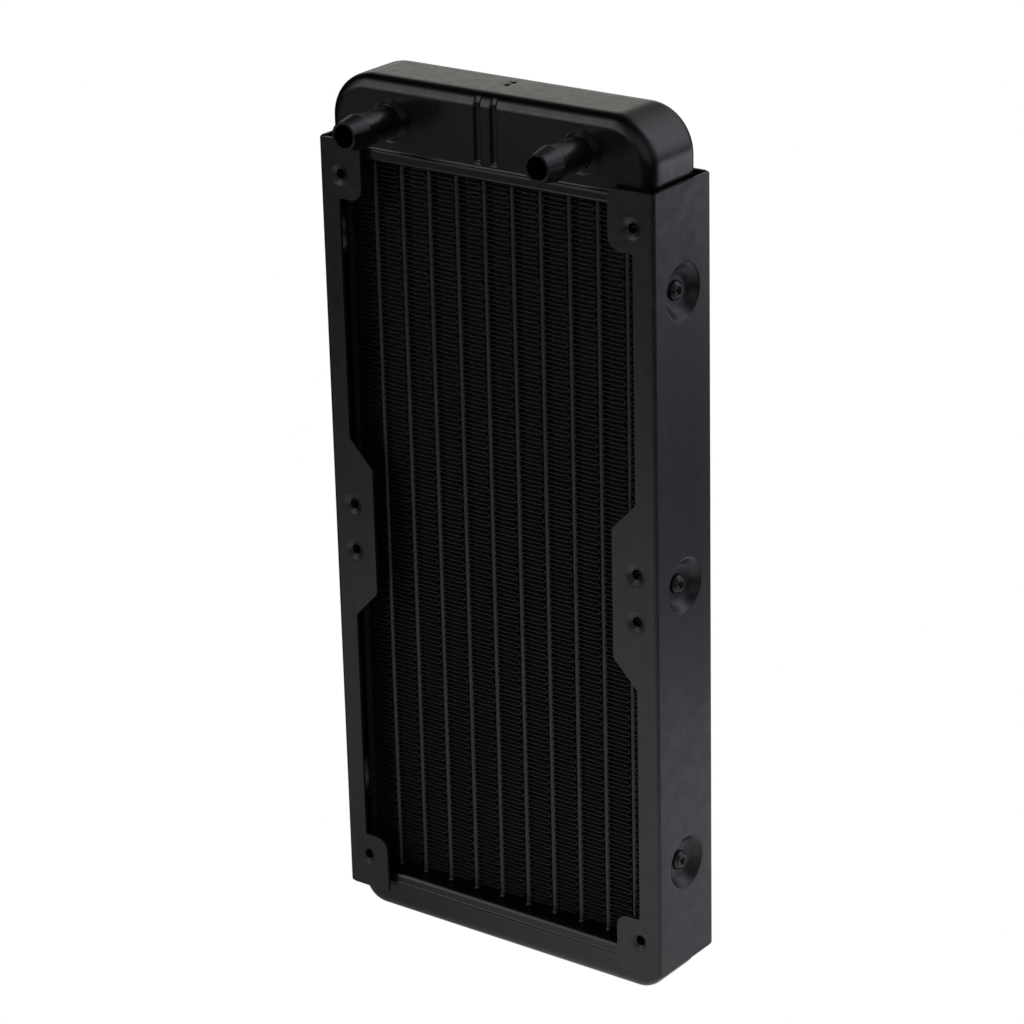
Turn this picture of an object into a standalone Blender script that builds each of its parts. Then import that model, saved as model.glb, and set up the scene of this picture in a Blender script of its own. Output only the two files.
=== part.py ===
"""Slim liquid cooling radiator for two 120 mm fans, standing on its return tank.

Units are metres, +Z is up and the hose barbs point to -Y. The origin is at the middle of the
underside of the bottom tank. Everything in the core is placed from the core's own centre.
"""

import math

import bmesh
import bpy
from mathutils import Matrix, Vector

# ---- driving dimensions -------------------------------------------------------------------------

FIT_GAP = 0.0003  # clearance where one piece touches its neighbour

# Fan standard: 120 mm frames with their screw holes on a 105 mm square.
FAN_SIZE = 0.120
FAN_HOLE_PITCH = 0.105
FAN_COUNT = 2

# Side panels: folded sheet channels that carry the fans.
FRAME_WIDTH = 0.120
FRAME_DEPTH = 0.0296
FRAME_END_MARGIN = 0.0034
SHEET = 0.001
BEND_RADIUS = 0.0015
FLANGE_WIDTH = 0.0072
TAB_WIDTH = 0.0156
TAB_CORNER_RADIUS = 0.004
END_TAB_LENGTH = 0.01825
MIDDLE_TAB_HALF_LENGTH = 0.0205
MIDDLE_TAB_CHAMFER = 0.0087

# Screw holes in the tabs, each in a small cone pressed inwards.
SCREW_HOLE_RADIUS = 0.0016
SCREW_CONE_RADIUS = 0.004
SCREW_CONE_DEPTH = 0.001
SCREW_COLLAR_DEPTH = 0.0026

# Rivets, each in a dish pressed inwards until it meets the core's side plate.
RIVET_SPACING = 0.0905
RIVET_COUNT = 3
DISH_RADIUS = 0.0087
DISH_FLOOR_RADIUS = 0.0044
DISH_DEPTH = 0.003
RIVET_HEAD_RADIUS = 0.0032
RIVET_HEAD_HEIGHT = 0.0015
RIVET_SHANK_RADIUS = 0.0015
RIVET_BORE_RADIUS = 0.001

# Core: flat tubes with folded fins between them.
TUBE_COUNT = 10
TUBE_PITCH = 0.0101
TUBE_THICKNESS = 0.0018
TUBE_WALL = 0.0004
CORE_DEPTH = 0.014
SIDE_PLATE_THICKNESS = 0.0011
SIDE_PLATE_DEPTH = 0.016
FIN_LEG_PITCH = 0.0035
FIN_SHEET_WIDTH = 0.0008
FIN_END_MARGIN = 0.0025

# Header plates and tanks.
HEADER_THICKNESS = 0.001
HEADER_HEIGHT = 0.0037
LIP_HALF_LENGTH = 0.0455
TUBE_STAND_UP = 0.0015
TANK_HALF_WIDTH = 0.0577
TANK_DEPTH = 0.024
TANK_WALL = 0.0011
TANK_EDGE_RADIUS = 0.0032
TOP_TANK_HEIGHT = 0.022
TOP_TANK_CORNER_RADIUS = 0.0143
BOTTOM_TANK_HEIGHT = 0.0097
BOTTOM_TANK_CORNER_RADIUS = 0.0085
GROOVE_OFFSET = 0.0029
GROOVE_WIDTH = 0.0017
GROOVE_DEPTH = 0.0007
GROOVE_FOOT = 0.0022
GROOVE_TOP = 0.018
RIB_MARGIN = 0.0005
DIVIDER_THICKNESS = 0.0025

# Hose barbs.
BARB_OFFSET = 0.0342
BARB_RISE = 0.0096
BARB_LENGTH = 0.0214
BARB_BORE_RADIUS = 0.00345
BARB_TIP_RADIUS = 0.00415
BARB_CHAMFER_RADIUS = 0.0045
BARB_CHAMFER = 0.0005
BARB_MAX_RADIUS = 0.0054
BARB_CONE_LENGTH = 0.0061
BARB_LAND = 0.0008
BARB_BACK_SLOPE = 0.0005
BARB_NECK_RADIUS = 0.0049
BARB_FLARE_START = 0.0055
BARB_STEP_RADII = (0.0053, 0.0059, 0.0066)
BARB_STEP_HEIGHT = 0.0004
BARB_SHANK_RADIUS = 0.0044
BARB_INNER_LENGTH = 0.0022

# ---- derived places -----------------------------------------------------------------------------

CORE_HALF_HEIGHT = FAN_COUNT * FAN_SIZE / 2 - 0.0027
CORE_CENTRE = BOTTOM_TANK_HEIGHT + FIT_GAP + HEADER_HEIGHT + CORE_HALF_HEIGHT
FRAME_HALF_HEIGHT = FAN_COUNT * FAN_SIZE / 2 + FRAME_END_MARGIN
HALF_WIDTH = FRAME_WIDTH / 2
HALF_DEPTH = FRAME_DEPTH / 2
COLUMN_WIDTH = TUBE_PITCH - TUBE_THICKNESS
SIDE_PLATE_INNER = (TUBE_COUNT + 1) / 2 * TUBE_PITCH - TUBE_THICKNESS / 2
TOP_SEAM = CORE_CENTRE + CORE_HALF_HEIGHT + HEADER_HEIGHT + FIT_GAP
BOTTOM_SEAM = BOTTOM_TANK_HEIGHT
HEADER_SEAT = HEADER_HEIGHT + FIT_GAP - HEADER_THICKNESS
SKIRT_INSET = HEADER_THICKNESS + 2 * FIT_GAP
SKIRT_DROP = HEADER_SEAT - FIT_GAP
BARB_HEIGHT = TOP_SEAM + BARB_RISE

ARC_STEPS = 4  # straight pieces in an arc
SHOULDER_STEPS = 6  # straight pieces in a tank's shoulder
RIM_STEPS = 3  # straight pieces across a tank's rounded rim
TURN_STEPS = 20  # sides of a large turned piece
SMALL_TURN_STEPS = 12  # sides of a screw hole or a rivet
OVERCUT = 0.002  # how far a cutter reaches past the face it cuts

PAINT_BLACK = (0.016, 0.016, 0.017, 1.0)
FIN_BLACK = (0.009, 0.009, 0.009, 1.0)
RIVET_BLACK = (0.022, 0.022, 0.023, 1.0)


# ---- scene and material helpers -----------------------------------------------------------------


def clear_scene():
    """Remove every object the scene starts with."""
    for obj in list(bpy.data.objects):
        bpy.data.objects.remove(obj, do_unlink=True)


def new_collection(name):
    """Make a collection in the scene."""
    collection = bpy.data.collections.new(name)
    bpy.context.scene.collection.children.link(collection)
    return collection


def painted(name, color, roughness, metallic):
    """A Principled material for one kind of piece."""
    material = bpy.data.materials.new(name)
    material.use_nodes = True
    shader = material.node_tree.nodes["Principled BSDF"]
    shader.inputs["Base Color"].default_value = color
    shader.inputs["Roughness"].default_value = roughness
    shader.inputs["Metallic"].default_value = metallic
    material.diffuse_color = color
    return material


def add_object(name, mesh, collection, material=None, matrix=Matrix.Identity(4)):
    """Put a mesh in the scene as a named object."""
    obj = bpy.data.objects.new(name, mesh)
    obj.matrix_world = matrix
    if material is not None:
        mesh.materials.clear()
        mesh.materials.append(material)
    collection.objects.link(obj)
    return obj


def make_cutter(obj):
    """Mark an object as a cutter, which is not part of the model."""
    obj.hide_render = True
    obj.display_type = "WIRE"
    return obj


def boolean(target, tool, operation):
    """Cut a tool from a target, or join it to the target, and apply the result."""
    modifier = target.modifiers.new(operation.lower(), "BOOLEAN")
    modifier.operation = operation
    modifier.solver = "EXACT"
    modifier.object = tool
    bpy.context.view_layer.update()
    graph = bpy.context.evaluated_depsgraph_get()
    result = bpy.data.meshes.new_from_object(target.evaluated_get(graph))
    target.modifiers.clear()
    target.data = result


def smooth(obj, angle=math.radians(35)):
    """Shade round faces smooth and keep real corners sharp."""
    obj.data.shade_smooth()
    obj.data.set_sharp_from_angle(angle=angle)


# ---- shape helpers ------------------------------------------------------------------------------


def arc(centre_x, centre_y, radius, start, end, steps=ARC_STEPS):
    """Points along an arc, angles in degrees."""
    points = []
    for i in range(steps + 1):
        angle = math.radians(start + (end - start) * i / steps)
        points.append((centre_x + radius * math.cos(angle), centre_y + radius * math.sin(angle)))
    return points


def stadium(thickness, depth):
    """Section of a flat tube: two straight sides and a round nose at each end."""
    radius = thickness / 2
    reach = depth / 2 - radius
    return arc(0, reach, radius, 0, 180) + arc(0, -reach, radius, 180, 360)


def shifted(points, x):
    """Move an outline sideways."""
    return [(px + x, py) for px, py in points]


def extruded_mesh(name, outlines, thickness):
    """Flat outlines, holes included, as a solid of the given thickness around z = 0."""
    curve = bpy.data.curves.new(name, "CURVE")
    curve.dimensions = "2D"
    curve.fill_mode = "BOTH"
    curve.extrude = thickness / 2
    for outline in outlines:
        spline = curve.splines.new("POLY")
        spline.points.add(len(outline) - 1)
        for point, (x, y) in zip(spline.points, outline):
            point.co = (x, y, 0.0, 1.0)
        spline.use_cyclic_u = True
    obj = bpy.data.objects.new(name, curve)
    bpy.context.scene.collection.objects.link(obj)
    bpy.context.view_layer.update()
    graph = bpy.context.evaluated_depsgraph_get()
    mesh = bpy.data.meshes.new_from_object(obj.evaluated_get(graph))
    bpy.data.objects.remove(obj, do_unlink=True)
    bpy.data.curves.remove(curve)
    weld(mesh)
    return mesh


def weld(mesh):
    """Join the loose caps of a mesh and point its faces outwards."""
    bm = bmesh.new()
    bm.from_mesh(mesh)
    bmesh.ops.remove_doubles(bm, verts=bm.verts, dist=0.000001)
    bmesh.ops.recalc_face_normals(bm, faces=bm.faces)
    bm.to_mesh(mesh)
    bm.free()


def block_mesh(name, size):
    """A box around the origin."""
    bm = bmesh.new()
    bmesh.ops.create_cube(bm, size=1.0, matrix=Matrix.Diagonal((*size, 1.0)))
    mesh = bpy.data.meshes.new(name)
    bm.to_mesh(mesh)
    bm.free()
    return mesh


def frustum_mesh(name, radius_low, radius_high, depth, steps=TURN_STEPS):
    """A solid cone stump from z = 0 to z = depth."""
    bm = bmesh.new()
    bmesh.ops.create_cone(
        bm, cap_ends=True, segments=steps, radius1=radius_low, radius2=radius_high, depth=depth,
        matrix=Matrix.Translation((0, 0, depth / 2)),
    )
    mesh = bpy.data.meshes.new(name)
    bm.to_mesh(mesh)
    bm.free()
    return mesh


def turned_mesh(name, profile, steps=TURN_STEPS):
    """A closed profile of (radius, height) points turned about Z, outer side listed downwards."""
    bm = bmesh.new()
    verts = [bm.verts.new((radius, 0.0, height)) for radius, height in profile]
    for i, vert in enumerate(verts):
        bm.edges.new((vert, verts[(i + 1) % len(verts)]))
    ring = bpy.data.meshes.new(name)
    bm.to_mesh(ring)
    bm.free()
    obj = bpy.data.objects.new(name, ring)
    bpy.context.scene.collection.objects.link(obj)
    screw = obj.modifiers.new("turn", "SCREW")
    screw.axis = "Z"
    screw.steps = steps
    screw.render_steps = steps
    screw.use_merge_vertices = True
    screw.merge_threshold = 0.00001
    bpy.context.view_layer.update()
    graph = bpy.context.evaluated_depsgraph_get()
    mesh = bpy.data.meshes.new_from_object(obj.evaluated_get(graph))
    bpy.data.objects.remove(obj, do_unlink=True)
    return mesh


def along(direction, point):
    """A frame at a point whose +Z looks along a direction."""
    turn = Vector((0, 0, 1)).rotation_difference(Vector(direction))
    return Matrix.Translation(point) @ turn.to_matrix().to_4x4()


def upright(y):
    """A frame for an outline drawn in X and Z, standing at a given y."""
    return Matrix.Translation((0, y, 0)) @ Matrix.Rotation(math.radians(90), 4, "X")


# ---- side panels --------------------------------------------------------------------------------


def channel_section(side):
    """Plan outline of the folded channel: back wall at the side, two flanges as wide as the tabs."""
    outer = BEND_RADIUS
    inner = BEND_RADIUS - SHEET
    tip = HALF_WIDTH - TAB_WIDTH
    corner_x = HALF_WIDTH - outer
    corner_y = HALF_DEPTH - outer
    points = [(tip, -HALF_DEPTH)]
    points += arc(corner_x, -corner_y, outer, -90, 0)
    points += arc(corner_x, corner_y, outer, 0, 90)
    points += [(tip, HALF_DEPTH), (tip, HALF_DEPTH - SHEET)]
    points += arc(corner_x, corner_y, inner, 90, 0)
    points += arc(corner_x, -corner_y, inner, 0, -90)
    points += [(tip, -HALF_DEPTH + SHEET)]
    return [(side * x, y) for x, y in points]


def window_outline(side, end):
    """Opening between the middle tab and one end tab, in x and z from the core's centre."""
    flange_edge = HALF_WIDTH - FLANGE_WIDTH
    tab_edge = HALF_WIDTH - TAB_WIDTH
    end_tab = FRAME_HALF_HEIGHT - END_TAB_LENGTH
    radius = TAB_CORNER_RADIUS
    chamfer_run = flange_edge - tab_edge
    past = tab_edge - OVERCUT
    chamfer_past = MIDDLE_TAB_HALF_LENGTH - OVERCUT * MIDDLE_TAB_CHAMFER / chamfer_run
    points = [(past, chamfer_past), (flange_edge, MIDDLE_TAB_HALF_LENGTH + MIDDLE_TAB_CHAMFER)]
    points += [(flange_edge, end_tab)]
    points += arc(tab_edge + radius, end_tab + radius, radius, -90, -180)
    points += [(past, end_tab + radius)]
    return [(side * x, end * z) for x, z in points]


def screw_places():
    """Heights of the screw holes above the core's centre."""
    heights = []
    for fan in range(FAN_COUNT):
        middle = (fan - (FAN_COUNT - 1) / 2) * FAN_SIZE
        heights += [middle - FAN_HOLE_PITCH / 2, middle + FAN_HOLE_PITCH / 2]
    return heights


def rivet_places():
    """Heights of the rivets above the core's centre."""
    return [(i - (RIVET_COUNT - 1) / 2) * RIVET_SPACING for i in range(RIVET_COUNT)]


def press_screw_hole(panel, cutters, x, z, face):
    """Press one screw cone into a flange; face is -1 on the front and +1 on the back."""
    inwards = (0, -face, 0)
    collar = frustum_mesh("collar", SCREW_CONE_RADIUS + SHEET, SCREW_HOLE_RADIUS + SHEET,
                          SCREW_COLLAR_DEPTH - SHEET / 2, SMALL_TURN_STEPS)
    place = along(inwards, (x, face * (HALF_DEPTH - SHEET / 2), z))
    boolean(panel, make_cutter(add_object("collar", collar, cutters, matrix=place)), "UNION")
    cone = turned_mesh("screw_cut", [
        (0.0, OVERCUT),
        (SCREW_CONE_RADIUS, OVERCUT),
        (SCREW_CONE_RADIUS, 0.0),
        (SCREW_HOLE_RADIUS, -SCREW_CONE_DEPTH),
        (SCREW_HOLE_RADIUS, -SCREW_COLLAR_DEPTH - OVERCUT),
        (0.0, -SCREW_COLLAR_DEPTH - OVERCUT),
    ], SMALL_TURN_STEPS)
    place = along((0, face, 0), (x, face * HALF_DEPTH, z))
    boolean(panel, make_cutter(add_object("screw_cut", cone, cutters, matrix=place)), "DIFFERENCE")


def press_dish(panel, cutters, side, z):
    """Press one rivet dish into the wall, with the rivet's hole in its floor."""
    outwards = (side, 0, 0)
    dish = frustum_mesh("dish", DISH_RADIUS, DISH_FLOOR_RADIUS + SHEET / 2, DISH_DEPTH)
    place = along((-side, 0, 0), (side * (HALF_WIDTH - SHEET), 0, z))
    boolean(panel, make_cutter(add_object("dish", dish, cutters, matrix=place)), "UNION")
    reach = SHEET + DISH_DEPTH + OVERCUT
    cut = turned_mesh("dish_cut", [
        (0.0, OVERCUT),
        (DISH_RADIUS, OVERCUT),
        (DISH_RADIUS, 0.0),
        (DISH_FLOOR_RADIUS, -DISH_DEPTH),
        (RIVET_SHANK_RADIUS + FIT_GAP, -DISH_DEPTH),
        (RIVET_SHANK_RADIUS + FIT_GAP, -reach),
        (0.0, -reach),
    ])
    place = along(outwards, (side * HALF_WIDTH, 0, z))
    boolean(panel, make_cutter(add_object("dish_cut", cut, cutters, matrix=place)), "DIFFERENCE")


def side_panel(name, side, parts, cutters, material):
    """A folded channel with windows between its tabs, screw cones and rivet dishes."""
    mesh = extruded_mesh(name, [channel_section(side)], 2 * FRAME_HALF_HEIGHT)
    panel = add_object(name, mesh, parts, material)
    for end in (-1, 1):
        window = extruded_mesh("window", [window_outline(side, end)], FRAME_DEPTH + OVERCUT)
        tool = make_cutter(add_object("window", window, cutters, matrix=upright(0)))
        boolean(panel, tool, "DIFFERENCE")
    for z in screw_places():
        for face in (-1, 1):
            press_screw_hole(panel, cutters, side * FAN_HOLE_PITCH / 2, z, face)
    for z in rivet_places():
        press_dish(panel, cutters, side, z)
    panel.location = (0, 0, CORE_CENTRE)
    smooth(panel)
    return panel


def rivet(name, side, z, parts, material):
    """A blind rivet through the dish floor and the side plate: domed head, hollow shank."""
    shank_end = -(HALF_WIDTH - DISH_DEPTH - SIDE_PLATE_INNER)
    profile = []
    rim_angle = math.acos(RIVET_BORE_RADIUS / RIVET_HEAD_RADIUS)
    for i in range(ARC_STEPS + 1):
        angle = rim_angle * (1 - i / ARC_STEPS)
        height = FIT_GAP + RIVET_HEAD_HEIGHT * math.sin(angle)
        profile.append((RIVET_HEAD_RADIUS * math.cos(angle), height))
    profile += [
        (RIVET_SHANK_RADIUS, FIT_GAP),
        (RIVET_SHANK_RADIUS, shank_end),
        (RIVET_BORE_RADIUS, shank_end),
    ]
    place = along((side, 0, 0), (side * (HALF_WIDTH - DISH_DEPTH), 0, CORE_CENTRE + z))
    mesh = turned_mesh(name, profile, SMALL_TURN_STEPS)
    smooth(add_object(name, mesh, parts, material, place))


# ---- core ---------------------------------------------------------------------------------------


def core_side_plate(name, side, parts, cutters, material):
    """Flat strip that closes the core and takes the rivets."""
    height = 2 * (CORE_HALF_HEIGHT - FIT_GAP)
    mesh = block_mesh(name, (SIDE_PLATE_THICKNESS, SIDE_PLATE_DEPTH, height))
    centre_x = SIDE_PLATE_INNER + SIDE_PLATE_THICKNESS / 2
    plate = add_object(name, mesh, parts, material, Matrix.Translation((side * centre_x, 0, 0)))
    for z in rivet_places():
        hole = frustum_mesh("rivet_hole", RIVET_SHANK_RADIUS + FIT_GAP, RIVET_SHANK_RADIUS + FIT_GAP,
                            SIDE_PLATE_THICKNESS + 2 * OVERCUT)
        place = along((side, 0, 0), (side * (SIDE_PLATE_INNER - OVERCUT), 0, z))
        tool = make_cutter(add_object("rivet_hole", hole, cutters, matrix=place))
        boolean(plate, tool, "DIFFERENCE")
    plate.location.z = CORE_CENTRE
    return plate


def tube_positions():
    """Sideways places of the water tubes."""
    return [(i - (TUBE_COUNT - 1) / 2) * TUBE_PITCH for i in range(TUBE_COUNT)]


def water_tubes(parts, material):
    """Flat tubes with round noses, open at both ends inside the tanks."""
    length = 2 * (CORE_HALF_HEIGHT + HEADER_THICKNESS + TUBE_STAND_UP)
    outer = stadium(TUBE_THICKNESS, CORE_DEPTH)
    bore = stadium(TUBE_THICKNESS - 2 * TUBE_WALL, CORE_DEPTH - 2 * TUBE_WALL)
    mesh = extruded_mesh("water_tube", [outer, bore], length)
    mesh.materials.append(material)
    for number, x in enumerate(tube_positions(), start=1):
        place = Matrix.Translation((x, 0, CORE_CENTRE))
        smooth(add_object(f"water_tube_{number:02d}", mesh, parts, matrix=place))


def fin_outline():
    """Side view of the folded strip: it zigzags between two tubes all the way up."""
    half_height = CORE_HALF_HEIGHT - FIN_END_MARGIN
    legs = round(2 * half_height / FIN_LEG_PITCH)
    reach = COLUMN_WIDTH / 2 - FIT_GAP - FIN_SHEET_WIDTH / 2
    centre_line = []
    for i in range(legs + 1):
        centre_line.append((reach if i % 2 else -reach, -half_height + 2 * half_height * i / legs))
    right = shifted(centre_line, FIN_SHEET_WIDTH / 2)
    left = shifted(centre_line, -FIN_SHEET_WIDTH / 2)
    return right + left[::-1]


def fin_strips(parts, material):
    """One folded strip in each column between the tubes, and between the tubes and side plates."""
    mesh = extruded_mesh("fin_strip", [fin_outline()], CORE_DEPTH)
    mesh.materials.append(material)
    for i in range(TUBE_COUNT + 1):
        x = (i - TUBE_COUNT / 2) * TUBE_PITCH
        place = Matrix.Translation((x, 0, CORE_CENTRE)) @ upright(0)
        add_object(f"fin_strip_{i + 1:02d}", mesh, parts, matrix=place)


# ---- headers and tanks --------------------------------------------------------------------------


def header_plate(name, end, parts, cutters, material):
    """Slotted plate with a folded lip along its front and back; end is +1 at the top."""
    size = (2 * (TANK_HALF_WIDTH - FIT_GAP), TANK_DEPTH - HEADER_THICKNESS, HEADER_THICKNESS)
    plate_z = end * (CORE_HALF_HEIGHT + HEADER_THICKNESS / 2)
    place = Matrix.Translation((0, 0, plate_z))
    plate = add_object(name, block_mesh(name, size), parts, material, place)
    slot = stadium(TUBE_THICKNESS + 2 * FIT_GAP, CORE_DEPTH + 2 * FIT_GAP)
    for x in tube_positions():
        prism = extruded_mesh("slot", [slot], HEADER_THICKNESS + OVERCUT)
        place = Matrix.Translation((x, 0, plate_z))
        boolean(plate, make_cutter(add_object("slot", prism, cutters, matrix=place)), "DIFFERENCE")
    lip_z = CORE_HALF_HEIGHT + HEADER_HEIGHT / 2
    lip_y = TANK_DEPTH / 2 - HEADER_THICKNESS / 2
    for face in (-1, 1):
        lip = block_mesh("lip", (2 * LIP_HALF_LENGTH, HEADER_THICKNESS, HEADER_HEIGHT))
        place = Matrix.Translation((0, face * lip_y, end * lip_z))
        tool = make_cutter(add_object("lip", lip, cutters, matrix=place))
        boolean(plate, tool, "UNION")
    plate.location.z += CORE_CENTRE
    return plate


def tank_outline(height, radius):
    """Front view of a tank above its seam: a flat foot and two round shoulders."""
    shoulder = TANK_HALF_WIDTH - radius
    points = [(-TANK_HALF_WIDTH, 0), (TANK_HALF_WIDTH, 0)]
    points += arc(shoulder, height - radius, radius, 0, 90, SHOULDER_STEPS)
    points += arc(-shoulder, height - radius, radius, 90, 180, SHOULDER_STEPS)
    return points


def round_face_edges(bm, radius):
    """Round the rim of the tank's front and back faces, but not along its foot."""
    rim = []
    for edge in bm.edges:
        on_face = all(abs(abs(v.co.y) - TANK_DEPTH / 2) < 1e-6 for v in edge.verts)
        same_face = edge.verts[0].co.y * edge.verts[1].co.y > 0
        at_foot = all(v.co.z < 1e-6 for v in edge.verts)
        if on_face and same_face and not at_foot and edge.calc_face_angle() > math.radians(60):
            rim.append(edge)
    bmesh.ops.bevel(bm, geom=rim, offset=radius, segments=RIM_STEPS, profile=0.5, affect="EDGES")


def add_skirt(bm):
    """Open the foot, step it inwards and take it down between the header's lips."""
    foot = [face for face in bm.faces if all(v.co.z < 1e-6 for v in face.verts)]
    bmesh.ops.delete(bm, geom=foot, context="FACES")
    for scale_in, drop in ((SKIRT_INSET, 0.0), (0.0, SKIRT_DROP)):
        open_edges = [edge for edge in bm.edges if edge.is_boundary]
        result = bmesh.ops.extrude_edge_only(bm, edges=open_edges)
        fresh = [item for item in result["geom"] if isinstance(item, bmesh.types.BMVert)]
        for vert in fresh:
            vert.co.x *= 1 - scale_in / TANK_HALF_WIDTH
            vert.co.y *= 1 - scale_in / (TANK_DEPTH / 2)
            vert.co.z -= drop


def tank_shell(name, height, radius, parts, material):
    """A deep-drawn cup above z = 0 with a stepped skirt below it, in one sheet."""
    mesh = extruded_mesh(name, [tank_outline(height, radius)], TANK_DEPTH)
    mesh.transform(upright(0))
    bm = bmesh.new()
    bm.from_mesh(mesh)
    round_face_edges(bm, TANK_EDGE_RADIUS)
    add_skirt(bm)
    bmesh.ops.recalc_face_normals(bm, faces=bm.faces)
    bm.to_mesh(mesh)
    bm.free()
    tank = add_object(name, mesh, parts, material)
    wall = tank.modifiers.new("wall", "SOLIDIFY")
    wall.thickness = TANK_WALL
    wall.offset = -1
    wall.use_even_offset = True
    return tank


def press_grooves(tank, cutters):
    """Two upright grooves in the front and back of the tank, with matching ribs inside."""
    height = GROOVE_TOP - GROOVE_FOOT
    middle = (GROOVE_TOP + GROOVE_FOOT) / 2
    face_y = TANK_DEPTH / 2
    for face in (-1, 1):
        for x in (-GROOVE_OFFSET, GROOVE_OFFSET):
            rib_size = (GROOVE_WIDTH + 2 * RIB_MARGIN, TANK_WALL, height + 2 * RIB_MARGIN)
            rib = block_mesh("rib", rib_size)
            place = Matrix.Translation((x, face * (face_y - GROOVE_DEPTH - TANK_WALL / 2), middle))
            boolean(tank, make_cutter(add_object("rib", rib, cutters, matrix=place)), "UNION")
            groove = block_mesh("groove", (GROOVE_WIDTH, 2 * GROOVE_DEPTH, height))
            place = Matrix.Translation((x, face * face_y, middle))
            tool = make_cutter(add_object("groove", groove, cutters, matrix=place))
            boolean(tank, tool, "DIFFERENCE")


def top_tank(parts, cutters, material):
    """The tank that carries the barbs."""
    tank = tank_shell("top_tank", TOP_TANK_HEIGHT, TOP_TANK_CORNER_RADIUS, parts, material)
    press_grooves(tank, cutters)
    for x in (-BARB_OFFSET, BARB_OFFSET):
        radius = BARB_SHANK_RADIUS + FIT_GAP
        hole = frustum_mesh("barb_hole", radius, radius, TANK_WALL + 2 * OVERCUT)
        place = along((0, -1, 0), (x, -TANK_DEPTH / 2 + TANK_WALL + OVERCUT, BARB_RISE))
        tool = make_cutter(add_object("barb_hole", hole, cutters, matrix=place))
        boolean(tank, tool, "DIFFERENCE")
    tank.location.z = TOP_SEAM
    smooth(tank)


def bottom_tank(parts, material):
    """The shallow return tank, upside down under the core."""
    height = BOTTOM_TANK_HEIGHT
    tank = tank_shell("bottom_tank", height, BOTTOM_TANK_CORNER_RADIUS, parts, material)
    tank.rotation_euler = (0, math.radians(180), 0)
    tank.location.z = BOTTOM_SEAM
    smooth(tank)


def tank_divider(parts, material):
    """Plate between the ribs that sends the water down one half of the core and up the other.

    Its outline, in y and z from the seam, follows the tank's inside: narrow in the skirt, wide
    above the step, with rounded upper corners.
    """
    wide = TANK_DEPTH / 2 - TANK_WALL - FIT_GAP
    narrow = wide - SKIRT_INSET
    step = TANK_WALL + FIT_GAP
    top = TOP_TANK_HEIGHT - TANK_WALL - FIT_GAP
    radius = TANK_EDGE_RADIUS - TANK_WALL
    half = [(narrow, -SKIRT_DROP), (narrow, step), (wide, step)]
    half += arc(wide - radius, top - radius, radius, 0, 90)
    outline = half + [(-y, z) for y, z in reversed(half)]
    mesh = extruded_mesh("tank_divider", [outline], DIVIDER_THICKNESS)
    place = Matrix.Translation((0, 0, TOP_SEAM)) @ Matrix.Rotation(math.radians(90), 4, "Z")
    add_object("tank_divider", mesh, parts, material, place @ upright(0))


# ---- hose barbs ---------------------------------------------------------------------------------


def barb_profile():
    """Half section of a barb: height is the distance from the tank's face, tip first."""
    tip = BARB_LENGTH
    cone_end = tip - BARB_CONE_LENGTH
    land_end = cone_end - BARB_LAND
    slope_end = land_end - BARB_BACK_SLOPE
    profile = [
        (BARB_BORE_RADIUS, tip),
        (BARB_TIP_RADIUS, tip),
        (BARB_CHAMFER_RADIUS, tip - BARB_CHAMFER),
        (BARB_MAX_RADIUS, cone_end),
        (BARB_MAX_RADIUS, land_end),
        (BARB_NECK_RADIUS, slope_end),
        (BARB_NECK_RADIUS, BARB_FLARE_START),
    ]
    steps = len(BARB_STEP_RADII)
    for i, radius in enumerate(BARB_STEP_RADII):
        upper = FIT_GAP + (steps - i) * BARB_STEP_HEIGHT
        profile += [(radius, upper), (radius, upper - BARB_STEP_HEIGHT)]
    profile += [
        (BARB_SHANK_RADIUS, FIT_GAP),
        (BARB_SHANK_RADIUS, -BARB_INNER_LENGTH),
        (BARB_BORE_RADIUS, -BARB_INNER_LENGTH),
    ]
    return profile


def hose_barbs(parts, material):
    """Two barbed tubes on the front of the top tank."""
    for name, x in (("hose_barb_left", -BARB_OFFSET), ("hose_barb_right", BARB_OFFSET)):
        mesh = turned_mesh(name, barb_profile())
        place = along((0, -1, 0), (x, -TANK_DEPTH / 2, BARB_HEIGHT))
        smooth(add_object(name, mesh, parts, material, place), math.radians(25))


# ---- assembly -----------------------------------------------------------------------------------


def build_radiator():
    """Model every piece of the radiator."""
    parts = new_collection("radiator")
    cutters = new_collection("cutters")
    panel_paint = painted("panel_paint", PAINT_BLACK, 0.42, 0.0)
    tank_paint = painted("tank_paint", PAINT_BLACK, 0.32, 0.0)
    core_paint = painted("core_paint", FIN_BLACK, 0.5, 0.0)
    rivet_paint = painted("rivet_paint", RIVET_BLACK, 0.35, 0.3)

    for label, side in (("left", -1), ("right", 1)):
        side_panel(f"side_panel_{label}", side, parts, cutters, panel_paint)
        core_side_plate(f"core_side_plate_{label}", side, parts, cutters, core_paint)
        for number, z in enumerate(rivet_places(), start=1):
            rivet(f"rivet_{label}_{number}", side, z, parts, rivet_paint)
    water_tubes(parts, core_paint)
    fin_strips(parts, core_paint)
    header_plate("top_header", 1, parts, cutters, tank_paint)
    header_plate("bottom_header", -1, parts, cutters, tank_paint)
    top_tank(parts, cutters, tank_paint)
    bottom_tank(parts, tank_paint)
    tank_divider(parts, core_paint)
    hose_barbs(parts, tank_paint)
    bpy.context.view_layer.update()


clear_scene()
build_radiator()
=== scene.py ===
"""Looks of the liquid cooling radiator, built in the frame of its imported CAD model.

A sheet part is drawn as its outer skin, made of flat patches, bends and pressed features, and is
then given its real thickness. Lengths are metres, and places come from the CAD nodes' boxes.
"""

import math
import random

import bmesh
import bpy
from mathutils import Matrix, Vector, noise
from mathutils.geometry import delaunay_2d_cdt


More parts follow.
